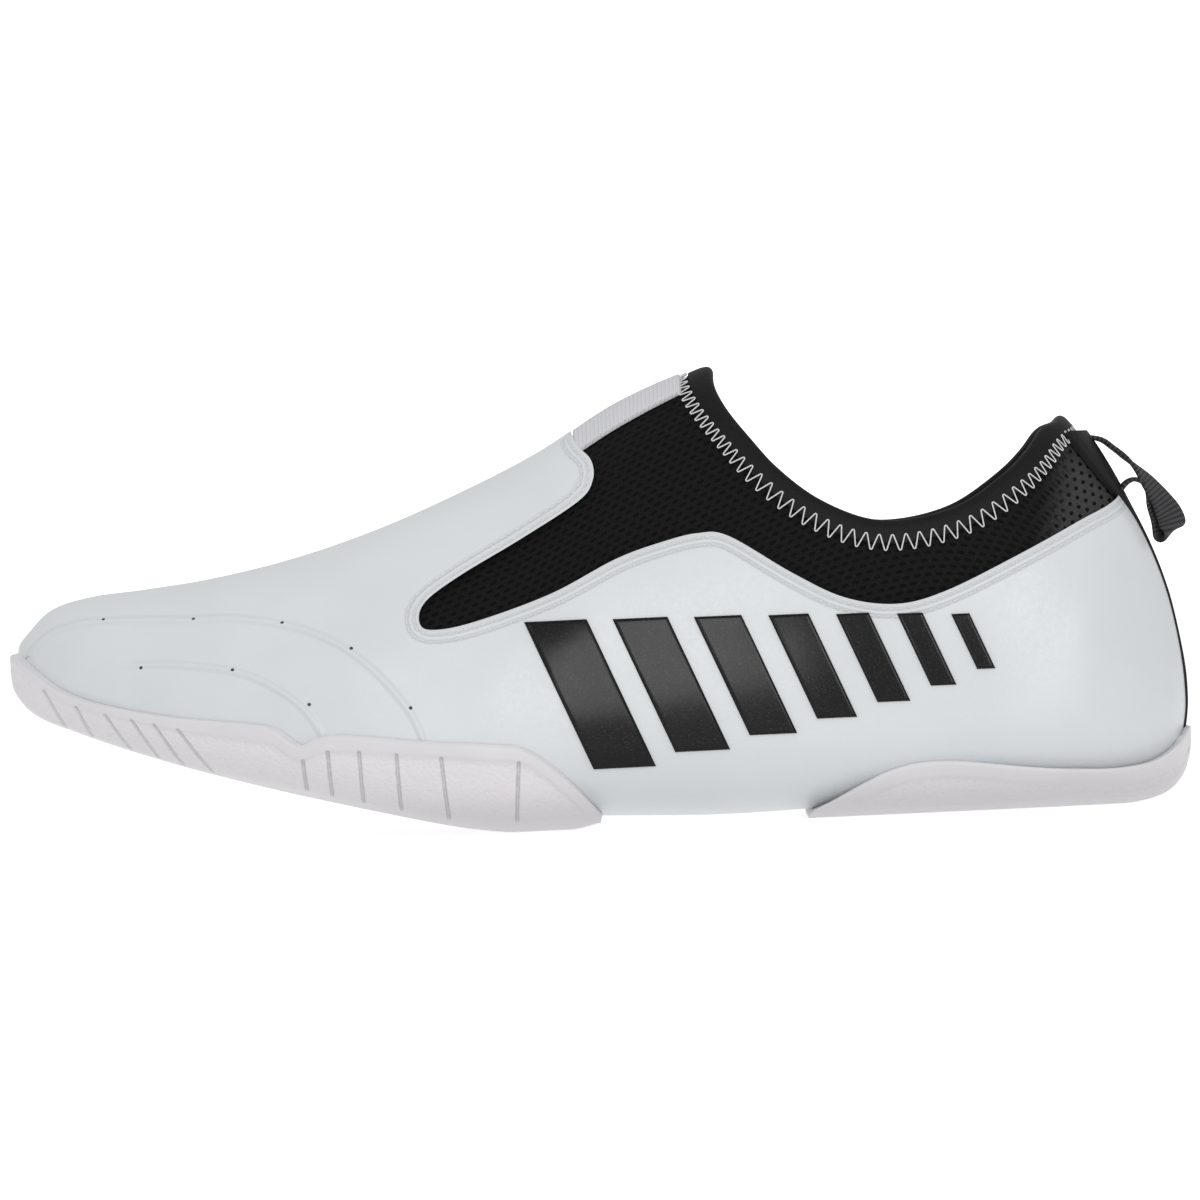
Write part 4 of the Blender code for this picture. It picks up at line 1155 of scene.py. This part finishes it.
def zigzag_tree():
    """One thread that runs from side to side along a closed path."""
    tree, given, leave = new_tree("zigzag_thread", (
        ("Width", "NodeSocketFloat", ZIGZAG_WIDTH),
        ("Radius", "NodeSocketFloat", THREAD_RADIUS),
        ("Rise", "NodeSocketFloat", ZIGZAG_RISE),
        ("Thread", "NodeSocketMaterial", None),
    ))
    curve = add_node(tree, "GeometryNodeMeshToCurve")
    index = add_node(tree, "GeometryNodeInputIndex")
    parity = add_node(tree, "ShaderNodeMath", {1: 2.0}, operation="MODULO")
    swing = add_node(tree, "ShaderNodeMath", {1: 0.5}, operation="SUBTRACT")
    reach = add_node(tree, "ShaderNodeMath", operation="MULTIPLY")
    lift = add_node(tree, "ShaderNodeMath", operation="MULTIPLY")
    aside = add_node(tree, "ShaderNodeVectorMath", operation="SCALE")
    proud = add_node(tree, "ShaderNodeVectorMath", operation="SCALE")
    both = add_node(tree, "ShaderNodeVectorMath")
    moved = add_node(tree, "GeometryNodeSetPosition")
    bend = add_node(tree, "GeometryNodeFilletCurve", mode="POLY")
    bend.inputs["Count"].default_value = 4
    bend.inputs["Radius"].default_value = THREAD_BEND
    ring = add_node(tree, "GeometryNodeCurvePrimitiveCircle", {"Resolution": 6})
    tube = add_node(tree, "GeometryNodeCurveToMesh")
    join(tree, (given["Path"], curve.inputs["Mesh"]), (curve.outputs["Curve"], moved.inputs["Geometry"]),
         (index.outputs[0], parity.inputs[0]), (parity.outputs[0], swing.inputs[0]),
         (swing.outputs[0], reach.inputs[0]), (given["Width"], reach.inputs[1]),
         (parity.outputs[0], lift.inputs[0]), (given["Rise"], lift.inputs[1]),
         (named_direction(tree, "upward"), aside.inputs[0]), (reach.outputs[0], aside.inputs["Scale"]),
         (named_direction(tree, "outward"), proud.inputs[0]), (lift.outputs[0], proud.inputs["Scale"]),
         (aside.outputs[0], both.inputs[0]), (proud.outputs[0], both.inputs[1]),
         (both.outputs[0], moved.inputs["Offset"]), (moved.outputs["Geometry"], bend.inputs["Curve"]),
         (bend.outputs["Curve"], tube.inputs["Curve"]), (given["Radius"], ring.inputs["Radius"]),
         (ring.outputs["Curve"], tube.inputs["Profile Curve"]))
    close_tree(tree, tube.outputs["Mesh"], given["Thread"], leave)
    return tree


def grow(name, paths, tree, values, closed=False):
    """Runs a tree on paths of (place, outward, upward) and keeps the plain mesh."""
    points = []
    edges = []
    outward = []
    upward = []
    for path in paths:
        base = len(points)
        for k, station in enumerate(path):
            points.append(tuple(station[0]))
            outward += list(station[1])
            upward += list(station[2]) if len(station) > 2 else (0.0, 0.0, 1.0)
            if k:
                edges.append((base + k - 1, base + k))
        if closed:
            edges.append((base + len(path) - 1, base))
    data = bpy.data.meshes.new(name)
    data.from_pydata(points, edges, [])
    for label, numbers in (("outward", outward), ("upward", upward)):
        layer = data.attributes.new(label, "FLOAT_VECTOR", "POINT")
        layer.data.foreach_set("vector", numbers)
    piece = bpy.data.objects.new(name, data)
    bpy.context.scene.collection.objects.link(piece)
    modifier = piece.modifiers.new("grow", "NODES")
    modifier.node_group = tree
    for item in tree.interface.items_tree:
        if item.item_type == "SOCKET" and item.in_out == "INPUT" and item.name in values:
            modifier[item.identifier] = values[item.name]
    make_plain(piece)
    for label in ("outward", "upward"):
        if label in piece.data.attributes:
            piece.data.attributes.remove(piece.data.attributes[label])
    return piece


# Soles

def sole_section(half):
    """The sole's own section at a half turn: wider and squarer than the last, and lower."""
    sizes = list(section_sizes(half))
    floor = underside_height(share_at(half))
    sizes[2] += SOLE_GROWTH
    sizes[3] = min(floor - CLEARANCE * 2, sizes[4] - 0.001)
    sizes[5] += SOLE_GROWTH
    sizes[6] = max(sizes[6], 2.0 + 1.6 * math.sin(half) ** 0.5)
    return sizes, floor


def make_sole(name, rows, wall, band, ribs, treads, halves, finish):
    """One sole piece as a cup: bottom, ribbed side, rounded lip and the wall against the upper."""
    line = edge_line(rows, wall)
    points = []
    panel_marks = []
    shares = []
    for half in halves:
        along = share_at(half)
        sizes, floor = sole_section(half)
        x = sole_x(along)
        edge = min(edge_height(line, along), LIP_TOP)
        tip = max(0.0, 1.0 - min(along, 1.0 - along) * SOLE_LENGTH / TIP_ROUND)
        edge -= TIP_DROP * (1.0 - math.sqrt(max(0.0, 1.0 - tip ** 2)))
        if ribs:
            floor += FORE_REAR_LIFT * (1.0 - ease(0.499, 0.530, along))
        if edge - floor < 0.0005:
            continue
        shares.append(along)
        lip = edge - lip_height(along)
        foot = floor + (side_band(along) if ribs else band)
        room = lip - foot
        depth = PANEL_DEPTH * ease(0.0, 0.002, room)
        if room < 0.002:
            foot, lip = (floor + edge) / 2 - 0.001, (floor + edge) / 2 + 0.001
        tall = edge - floor
        corner = min(0.0011, tall * 0.3)
        rim = min(LIP_ROUND, tall * 0.3)
        levels = [floor + corner * share for share in (0.0, 0.08, 0.25, 0.5, 0.75, 1.0)]
        start = levels[-1]
        end = edge - rim
        levels += [start + (end - start) * k / 22 for k in range(1, 22)]
        levels += [edge - rim * share for share in (1.0, 0.75, 0.5, 0.3, 0.14, 0.04, 0.0)]
        base_turn = turn_at_height(sizes, floor)
        bottom = [-math.pi / 2 + (base_turn + math.pi / 2) * k / 9 for k in range(9)]
        half_ring = []
        for turn in bottom:
            tread = 0.0
            inside = math.cos(turn) < 0.80 * math.cos(base_turn)
            for place in treads:
                if inside:
                    tread = max(tread, 1.0 - ease(0.0011, 0.0019, abs(x - sole_x(place))))
            across, up = section_point(sizes, turn, -corner)
            half_ring.append((across - sizes[1], floor + 0.001 * tread, 0.0))
        for level in levels:
            recess = 0.0
            if level < floor + corner:
                recess += corner - math.sqrt(max(0.0, corner ** 2 - (floor + corner - level) ** 2))
            if level > edge - rim:
                recess += rim - math.sqrt(max(0.0, rim ** 2 - (level - edge + rim) ** 2))
            inside = ease(foot, foot + 0.0007, level) * (1.0 - ease(lip - 0.0007, lip, level))
            recess += depth * inside
            across, up = section_point(sizes, turn_at_height(sizes, level), 0.0)
            half_ring.append((across - sizes[1] - recess, level, inside if depth > 0.0003 else 0.0))
        inner_turn = turn_at_height(section_sizes(half), edge)
        for k in range(11):
            turn = inner_turn + (-math.pi / 2 - inner_turn) * k / 10
            place = skin(half, turn, -CLEARANCE * 0.5)[0]
            half_ring.append((place.y - sizes[1], min(place.z, edge), 0.0))
            if k == 10:
                half_ring[-1] = (0.0, min(place.z, edge), 0.0)
        outer_count = len(bottom) + len(levels)
        for side in (1, -1):
            for k, (across, up, panel) in enumerate(half_ring):
                if side < 0:
                    turn_back = k
                    if outer_count <= turn_back:
                        inner_k = turn_back - outer_count
                        turn = inner_turn + (-math.pi / 2 - inner_turn) * inner_k / 10
                        place = skin(half, math.pi - turn, -CLEARANCE * 0.5)[0]
                        across = sizes[1] - place.y if inner_k < 10 else 0.0
                        up = min(place.z, edge)
                use_x = x if k < outer_count else upper_x(half)
                points.append((use_x, sizes[1] + side * across, up))
                panel_marks.append(panel)
    count = len(half_ring)
    rings = len(shares)
    faces = []
    for ring in range(rings - 1):
        for side in (0, 1):
            here = (ring * 2 + side) * count
            there = here + 2 * count
            for k in range(count - 1):
                quad = (here + k, here + k + 1, there + k + 1, there + k)
                faces.append(quad if side else quad[::-1])
    for ring in (0, rings - 1):
        at_tip = min(shares[ring], 1.0 - shares[ring]) < 0.01
        for k in range(count - 1 if at_tip else 0):
            here = ring * 2 * count + k
            quad = (here, here + 1, here + count + 1, here + count)
            faces.append(quad if ring == 0 else quad[::-1])
        for side in () if at_tip else (0, 1):
            here = (ring * 2 + side) * count
            for k in range(count // 2):
                other = count - 1 - k
                if other - k > 1:
                    quad = (here + k, here + k + 1, here + other - 1, here + other)
                    faces.append(quad if (side == 0) == (ring == 0) else quad[::-1])
    piece = add_object(name, points, faces)
    keep_number(piece, "panel", panel_marks)
    weld(piece)
    outward_first(piece)
    dress(piece, finish, 50)
    return piece


def weld(piece):
    modifier = piece.modifiers.new("weld", "WELD")
    modifier.merge_threshold = WELD_GAP
    make_plain(piece)


# The collar's rim

def crown_surface(x, y):
    centre, half_width, _, belly, top, _, over = section_sizes(half_at(x))[1:]
    part = min(1.0, abs((y - centre) / half_width)) if half_width > 0 else 1.0
    return belly + (top - belly) * (1.0 - part ** over) ** (1.0 / over)


def rim_loop(depth, count):
    """Stations round the collar's rim: place at a depth of the skin, outward, and up to the opening."""
    edge = side_edge(COLLAR_EDGE, 8)
    middle = HEEL_SEAT - UPPER_LENGTH * COLLAR_MIDDLE
    centre = section_sizes(half_turn(COLLAR_MIDDLE))[1]

    def height_at(x):
        found = REACH
        for before, after in zip(edge, edge[1:]):
            low, high = sorted((before[0], after[0]))
            if low <= x <= high and high > low:
                part = (x - before[0]) / (after[0] - before[0])
                found = min(found, before[1] + (after[1] - before[1]) * part)
        return found

    places = []
    for k in range(count):
        angle = math.tau * k / count
        near = 0.002
        far = 0.070
        for _ in range(26):
            reach = (near + far) / 2
            x = middle + reach * math.cos(angle)
            y = centre + reach * math.sin(angle)
            if half_at(x) > 0.3 and crown_surface(x, y) > height_at(x):
                near = reach
            else:
                far = reach
        places.append(Vector((x, y, crown_surface(x, y))))
    for _ in range(3):
        places = [(places[k - 1] + places[k] * 2 + places[(k + 1) % count]) / 4 for k in range(count)]
    stations = []
    for k, place in enumerate(places):
        spot = spot_near(place)
        sunk, outward = skin(*spot, depth)
        way = places[(k + 1) % count] - places[k - 1]
        way.normalize()
        upward = outward.cross(way)
        if upward.dot(Vector((middle, centre, 0.3)) - place) < 0:
            upward = -upward
        stations.append((sunk, outward, upward))
    return stations


# Making the shoe

SKIN = [
    [skin(math.pi * k / SHELL_RINGS, -math.pi / 2 + math.tau * j / SHELL_TURNS) for j in range(SHELL_TURNS)]
    for k in range(1, SHELL_RINGS)
]
GIRTHS = girth_table()

LEATHER = leather_finish()
CUT_EDGE = leather_edge_finish()
MESH = mesh_finish()
LINING = lining_finish()
BAND = band_finish()
STRAP = webbing_finish("pull_webbing_black", "strap", (0.004, 0.004, 0.005), (0.10, 0.10, 0.105))
TAB = webbing_finish("instep_webbing_white", "strap", (0.76, 0.76, 0.80), (0.86, 0.86, 0.89))
STAY = plain_cloth("backstay_black_cloth", (0.003, 0.003, 0.0035), (0.011, 0.011, 0.012), 0.65)
GLOSS = gloss_finish()
RUBBER = rubber_finish()
FOAM = plain_cloth("insole_cloth", (0.02, 0.02, 0.023), (0.07, 0.07, 0.075), 0.85)
THREAD = thread_finish()
VENT = vent_finish()

def keep(piece, slot, *nodes):
    """Hands a finished piece over: its body and the solids it stands for, which are hidden; the slot
    argument is not used.
    """
    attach(piece, "root")
    if nodes:
        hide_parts(*nodes)


def dress(piece, finish, degrees):
    """Gives a piece its finish, smooth but for edges sharper than some degrees."""
    piece.data.materials.append(finish)
    smooth(piece, degrees)


def backstay_outline(gap):
    """The backstay strip seen from above the heel, wider towards its top."""
    narrow = BACKSTAY_FOOT_WIDTH / 2 + gap
    wide = BACKSTAY_TOP_WIDTH / 2 + gap
    front = HEEL_SEAT - UPPER_LENGTH * BACKSTAY_FRONT
    upper = HEEL_SEAT - UPPER_LENGTH * BACKSTAY_WIDE
    lower = HEEL_SEAT - UPPER_LENGTH * BACKSTAY_NARROW
    back = HEEL_SEAT + 0.02
    side = smooth_line([(front, wide), (upper, wide), (lower, narrow), (back, narrow)], 6)
    return [(x, -y) for x, y in side] + side[::-1]


def mark_sides(piece, second, lowest):
    """Gives the faces that don't look along the skin's outward direction a second finish."""
    data = piece.data
    middles = np.empty(len(data.polygons) * 3)
    normals = np.empty(len(data.polygons) * 3)
    data.polygons.foreach_get("center", middles)
    data.polygons.foreach_get("normal", normals)
    slots = []
    for middle, normal in zip(middles.reshape(-1, 3), normals.reshape(-1, 3)):
        outward = skin(*spot_near(Vector(middle)))[1]
        slots.append(1 if outward.dot(Vector(normal)) < lowest else 0)
    data.materials.append(second)
    data.polygons.foreach_set("material_index", slots)


def make_leather():
    piece = shell("leather_shell_skin", 0.0, LEATHER_WALL)
    cut(piece, prism(above(side_edge(LEATHER_EDGE, 8)), -REACH, REACH, "Y"), "DIFFERENCE")
    cut(piece, prism(backstay_outline(CLEARANCE), -0.02, REACH, "Z"), "DIFFERENCE")
    piece.data.materials.append(LEATHER)
    mark_sides(piece, CUT_EDGE, 0.55)
    points = points_of(piece)
    edge = side_edge(LEATHER_EDGE, 5)
    near = np.full(len(points), 1e9)
    for side in (-1, 1):
        path = [skin(*side_spot(x, z, side))[0] for x, z in edge if z < section_sizes(half_at(x))[5]]
        near = np.minimum(near, distance_to(points, [tuple(place) for place in path]))
    keep_number(piece, "seam", near)
    flat = points[:, [0, 2]]
    keep_number(piece, "outer_ridge", distance_to(flat, smooth_line(OUTER_RIDGE, 4)))
    keep_number(piece, "inner_ridge", distance_to(flat, smooth_line(INNER_RIDGE, 4)))
    smooth(piece, 40)
    keep(piece, "leather_white", "leather_shell")


def make_upper():
    piece = shell("mesh_bootie", MESH_DEPTH, MESH_DEPTH + LINING_WALL)
    cut(piece, prism(above(side_edge(COLLAR_EDGE, 8)), -REACH, REACH, "Y"), "DIFFERENCE")
    piece.data.materials.append(MESH)
    mark_sides(piece, LINING, 0.0)
    keep_skin_map(piece)
    smooth(piece, 40)
    keep(piece, "mesh_black", "upper")


def zigzag_points(path):
    """Turning points of the zigzag along a closed path, closer at the instep and the heel."""
    marks = [0.0]
    for k, here in enumerate(path):
        after = path[(k + 1) % len(path)]
        close = 1.0 - ease(-0.068, -0.058, here[0].x) * (1.0 - ease(-0.002, 0.012, here[0].x))
        pitch = (ZIGZAG_PITCH + (ZIGZAG_CLOSE_PITCH - ZIGZAG_PITCH) * close) / 2
        marks.append(marks[-1] + (after[0] - here[0]).length / pitch)
    count = 2 * round(marks[-1] / 2)
    turns = []
    k = 0
    for number in range(count):
        goal = number * marks[-1] / count
        while marks[k + 1] < goal:
            k += 1
        part = (goal - marks[k]) / (marks[k + 1] - marks[k])
        after = path[(k + 1) % len(path)]
        turns.append(tuple(a.lerp(b, part) for a, b in zip(path[k], after)))
    return turns


def make_collar():
    stations = rim_loop(MESH_DEPTH + LINING_WALL / 2, 240)
    profile = (
        (-0.0042, 0.00105), (-0.0041, 0.00145), (-0.0036, 0.00165), (-0.0020, 0.00175), (-0.0006, 0.00180),
        (0.0006, 0.00165), (0.0014, 0.00125), (0.0018, 0.0006), (0.0019, 0.0), (0.0018, -0.0006),
        (0.0014, -0.00125), (0.0006, -0.00165), (-0.0006, -0.0018), (-0.0030, -0.00175), (-0.0045, -0.0015),
        (-0.0046, -0.00105), (-0.0030, -0.00103), (-0.0004, -0.0010), (0.0002, -0.0005), (0.0003, 0.0),
        (0.0002, 0.0005), (-0.0004, 0.0010), (-0.0030, 0.00103),
    )
    frames = [(place, upward, outward) for place, outward, upward in stations]
    piece = sweep("collar_band", frames, profile, True)
    run = 0.0
    pairs = []
    for k, station in enumerate(stations):
        if k:
            run += (station[0] - stations[k - 1][0]).length
        girth = 0.0
        for j, point in enumerate(profile):
            if j:
                girth += math.hypot(point[0] - profile[j - 1][0], point[1] - profile[j - 1][1])
            pairs.append((run, girth))
    keep_grid_map(piece, "band", pairs)
    dress(piece, BAND, 60)
    keep(piece, "band_black", "collar_binding")
    path = []
    for place, outward, upward in stations:
        spot = spot_near(place - upward * ZIGZAG_DROP)
        seat, away = skin(*spot, MESH_DEPTH - THREAD_RADIUS * 1.2)
        path.append((seat, away, upward))
    turns = zigzag_points(path)
    thread = grow("collar_zigzag", [turns], zigzag_tree(), {"Rise": ZIGZAG_RISE, "Thread": THREAD}, True)
    keep(thread, "webbing_white")


def make_seams():
    tree = stitch_row_tree()
    edge = [spot for spot in side_edge(LEATHER_EDGE, 6) if spot[0] < HEEL_SEAT - 0.0185]
    paths = []
    for side in (-1, 1):
        line = [(x, z) for x, z in edge if z < section_sizes(half_at(x))[5] - 0.0006]
        for inset in STITCH_ROWS:
            paths.append(skin_path(line, side, inset, -0.00002))
    seam = grow("leather_stitching", paths, tree, {"Pitch": STITCH_PITCH, "Thread": THREAD})
    keep(seam, "webbing_white")


def make_vents():
    paths = [[skin(*side_spot(x + step, z, side), 0.0) for step in (0.0, 0.0001)]
             for side in (-1, 1) for x, z in VENTS]
    piece = grow("toe_vents", paths, bpy.data.node_groups["stitch_row"],
                 {"Pitch": 0.0006, "Size": (0.0008, 0.0008, 0.0003), "Thread": VENT})
    keep(piece, "leather_white")


def make_bars():
    centre_x = HEEL_SEAT - UPPER_LENGTH * BAR_MIDDLE
    for k in range(BAR_COUNT):
        shrink = 1.0 - k / (BAR_COUNT + 1.5)
        width = BAR_WIDTH * shrink
        height = BAR_HEIGHT * shrink ** 0.8
        middle_z = (0.30 + 0.013 * k) * INSTEP_HEIGHT
        lean = 0.42 * height
        for side, word in ((-1, "lateral"), (1, "medial")):
            def spot(s, t, x0=centre_x, side=side):
                x = x0 + width * (s - 0.5) + lean * (0.5 - t)
                z = middle_z + height * (t - 0.5)
                room = min(s, 1.0 - s) * width
                room = min(room, min(t, 1.0 - t) * height)
                return (*side_spot(x, z, side), room)
            bar = patch(f"bar_{word}_{k + 1}", spot, 20, 40, BAR_THICKNESS, 0.0006, -0.00005)
            dress(bar, GLOSS, 60)
            keep(bar, "gloss_black", f"side_bar_{word}_{k + 1}")
        centre_x += width * 0.94 + BAR_GAP


def make_tab():
    toe_end = side_edge(LEATHER_EDGE, 1)[1][0] + CLEARANCE * 4 - 0.002
    heel_end = toe_end + TAB_LENGTH + 0.002

    def spot(s, t):
        x = toe_end + (heel_end - toe_end) * t
        half = half_at(x)
        sizes = section_sizes(half)
        y = sizes[1] + TAB_WIDTH * (1.0 - 0.30 * t) * (s - 0.5)
        turn = math.acos(power((y - sizes[1]) / sizes[2], sizes[7] / 2))
        room = min(min(s, 1 - s) * TAB_WIDTH, min(t, 1 - t) * TAB_LENGTH)
        return half, turn, room

    piece = patch("instep_webbing", spot, 36, 40, 0.0011, 0.0004, MESH_DEPTH - 0.0002)
    points = points_of(piece)
    keep_grid_map(piece, "strap", [(x * 1.12, y) for x, y, _ in points])
    dress(piece, TAB, 60)
    keep(piece, "webbing_white", "instep_tab")


def heel_spot(y, z):
    """Half turn and turn of the skin at the back of the heel, seen from behind."""
    near, far = 0.01, half_turn(0.16)
    for _ in range(30):
        half = (near + far) / 2
        centre, half_width, low, belly, top, under, over = section_sizes(half)[1:]
        exponent = over if z > belly else under
        rise = (top - belly) if z > belly else (belly - low)
        flat = abs((y - centre) / half_width) ** exponent
        steep = abs((z - belly) / rise) ** exponent
        if flat + steep > 1.0:
            near = half
        else:
            far = half
    return half, spot_near(Vector((upper_x(half), y, z)))[1]


def make_backstay():
    low = BACKSTAY_FOOT
    high = side_edge(COLLAR_EDGE, 1)[13][1] - BACKSTAY_DROP

    def spot(s, t):
        z = low + (high - low) * t
        width = BACKSTAY_FOOT_WIDTH + (BACKSTAY_TOP_WIDTH - BACKSTAY_FOOT_WIDTH) * ease(0.62, 0.93, t)
        half, turn = heel_spot(width * (s - 0.5), z)
        room = min(min(s, 1 - s) * width, min(t, 1 - t) * (high - low))
        return half, turn, room

    piece = patch("backstay_strip", spot, 28, 110, 0.0017, 0.0005, LEATHER_WALL, 0.0009)
    dress(piece, STAY, 60)
    keep(piece, "backstay_black", "backstay")


def make_pull_loop():
    line = smooth_line(LOOP_FOLDS, 12)
    wide = LOOP_WIDTH / 2
    thick = LOOP_WALL / 2
    upper = [(wide, 0.0), (wide * 0.97, thick * 0.8), (wide * 0.85, thick)]
    upper += [(0.0, thick), (-wide * 0.85, thick), (-wide * 0.97, thick * 0.8)]
    profile = upper + [(-a, -b) for a, b in upper]
    stations = []
    pairs = []
    run = 0.0
    for k, (x, y, z, turn) in enumerate(line):
        here = Vector((x, y, z))
        before = Vector(line[max(0, k - 1)][:3])
        after = Vector(line[min(len(line) - 1, k + 1)][:3])
        run += (here - before).length
        way = after - before
        way.normalize()
        angle = math.radians(turn)
        across = Vector((math.sin(angle), math.cos(angle), 0.8 * math.sin(angle)))
        across -= way * across.dot(way)
        across.normalize()
        stations.append((here, across, across.cross(way)))
        pairs += [(run, a) for a, _ in profile]
    piece = sweep("heel_pull_webbing", stations, profile, False)
    keep_grid_map(piece, "strap", pairs)
    dress(piece, STRAP, 60)
    keep(piece, "webbing_black", "pull_loop")


def make_insole():
    depth = MESH_DEPTH + LINING_WALL + CLEARANCE
    stations = []
    count = 24
    for k in range(9, 94):
        half = math.pi * k / 100
        lower = []
        for j in range(count + 1):
            turn = -math.pi / 2 + math.radians(56.0) * (2 * j / count - 1)
            lower.append(skin(half, turn, depth)[0])
        upper = []
        for j in range(count - 1, 0, -1):
            room = min(j, count - j) / count
            lift = INSOLE_THICKNESS * math.sqrt(max(0.0, 1 - (1 - min(1.0, room / 0.12)) ** 2))
            upper.append(lower[j] + Vector((0.0, 0.0, max(lift, 0.0002))))
        stations.append(lower + upper)
    points = [point for ring in stations for point in ring]
    wide = len(stations[0])
    faces = [tuple(reversed(range(wide))), tuple(range(len(points) - wide, len(points)))]
    for k in range(len(stations) - 1):
        for j in range(wide):
            after = (j + 1) % wide
            faces.append((k * wide + j, k * wide + after, (k + 1) * wide + after, (k + 1) * wide + j))
    piece = add_object("insole_pad", points, faces)
    outward_first(piece)
    dress(piece, FOAM, 50)
    keep(piece, "foam_dark", "insole")


def make_soles():
    rear = half_turn(FORE_END)
    fore = [rear + (math.pi - 0.004 - rear) * k / 330 for k in range(331)]
    keep(make_sole("sole_forefoot_cup", FORE_EDGE, FORE_WALL, FORE_BAND, RIBS, FORE_TREAD, fore, RUBBER),
         "rubber_pale", "outsole_forefoot")
    heel = [0.10 + (half_turn(HEEL_END) - 0.10) * k / 200 for k in range(201)]
    keep(make_sole("sole_heel_cup", HEEL_EDGE, HEEL_WALL, HEEL_BAND, (), HEEL_TREAD, heel, RUBBER),
         "rubber_pale", "outsole_heel")


make_soles()
make_leather()
make_upper()
make_collar()
make_seams()
make_vents()
make_bars()
make_tab()
make_backstay()
make_pull_loop()
make_insole()


# Floor, light and camera

def studio_plane(name, corners, glow):
    """A pale glowing plane that throws no light on the shoe's matt parts."""
    plane = add_object(name, corners, [(0, 1, 2, 3)])
    it = Finish(name + "_pale", (0.93, 0.93, 0.93), 0.9)
    it.set("Emission Color", (1.0, 1.0, 1.0, 1.0))
    it.set("Emission Strength", glow)
    it.colour(it.noise(it.place(), 0.3, 2.0), (0.925, 0.925, 0.925), (0.935, 0.935, 0.935))
    plane.data.materials.append(it.material)
    plane.visible_diffuse = False
    return plane


def make_stage():
    floor = studio_plane("studio_floor", [(-4, -4, 0), (4, -4, 0), (4, 4, 0), (-4, 4, 0)], 0.5)
    upright = [(-5, 3.8, -1), (5, 3.8, -1), (5, 3.8, 4), (-5, 3.8, 4)]
    backdrop = studio_plane("studio_backdrop", upright, 0.9)
    backdrop.visible_glossy = False
    bpy.context.scene.view_settings.view_transform = "Standard"
    world = bpy.data.worlds.new("studio")
    bpy.context.scene.world = world
    world.use_nodes = True
    sky = world.node_tree.nodes["Background"]
    sky.inputs["Color"].default_value = (1.0, 1.0, 1.0, 1.0)
    sky.inputs["Strength"].default_value = 0.66
    for name, place, aim, size, energy in (
        ("key_light", (-0.30, -1.6, 0.85), (-0.1, 0.0, 0.05), 0.5, 2.3),
        ("gloss_light", (0.50, -1.6, 0.42), (-0.08, 0.0, 0.05), 0.55, 6.0),
        ("top_light", (-0.1, 0.05, 1.5), (-0.1, 0.0, 0.05), 1.6, 1.0),
        ("side_light", (0.95, -0.9, 0.8), (-0.05, 0.0, 0.05), 0.7, 1.1),
        ("low_light", (-0.25, -1.7, 0.16), (-0.08, 0.0, 0.03), 0.2, 1.4),
    ):
        lamp = bpy.data.lights.new(name, "AREA")
        lamp.shape = "SQUARE"
        lamp.size = size
        lamp.energy = energy
        thing = bpy.data.objects.new(name, lamp)
        thing.location = place
        thing.rotation_euler = (Vector(aim) - Vector(place)).to_track_quat("-Z", "Y").to_euler()
        thing.visible_diffuse = name != "gloss_light"
        bpy.context.scene.collection.objects.link(thing)


CAMERA_DISTANCE = 2.2
CAMERA_RISE = 0.7
CAMERA_ROLL = 2.5
FRAME_WIDTH = 0.2934
AIM = Vector((-0.0977, 0.0, 0.0548))


def make_camera():
    lens = bpy.data.cameras.new("photo_camera")
    lens.sensor_width = 36.0
    lens.lens = 36.0 * CAMERA_DISTANCE / FRAME_WIDTH
    lens.clip_end = 20.0
    camera = bpy.data.objects.new("photo_camera", lens)
    rise = math.radians(CAMERA_RISE)
    away = Vector((0.0, -math.cos(rise), math.sin(rise)))
    camera.location = AIM + away * CAMERA_DISTANCE
    turn = (-away).to_track_quat("-Z", "Y").to_matrix()
    camera.rotation_euler = (turn @ Matrix.Rotation(math.radians(-CAMERA_ROLL), 3, "Z")).to_euler()
    bpy.context.scene.collection.objects.link(camera)
    bpy.context.scene.camera = camera


make_stage()
make_camera()
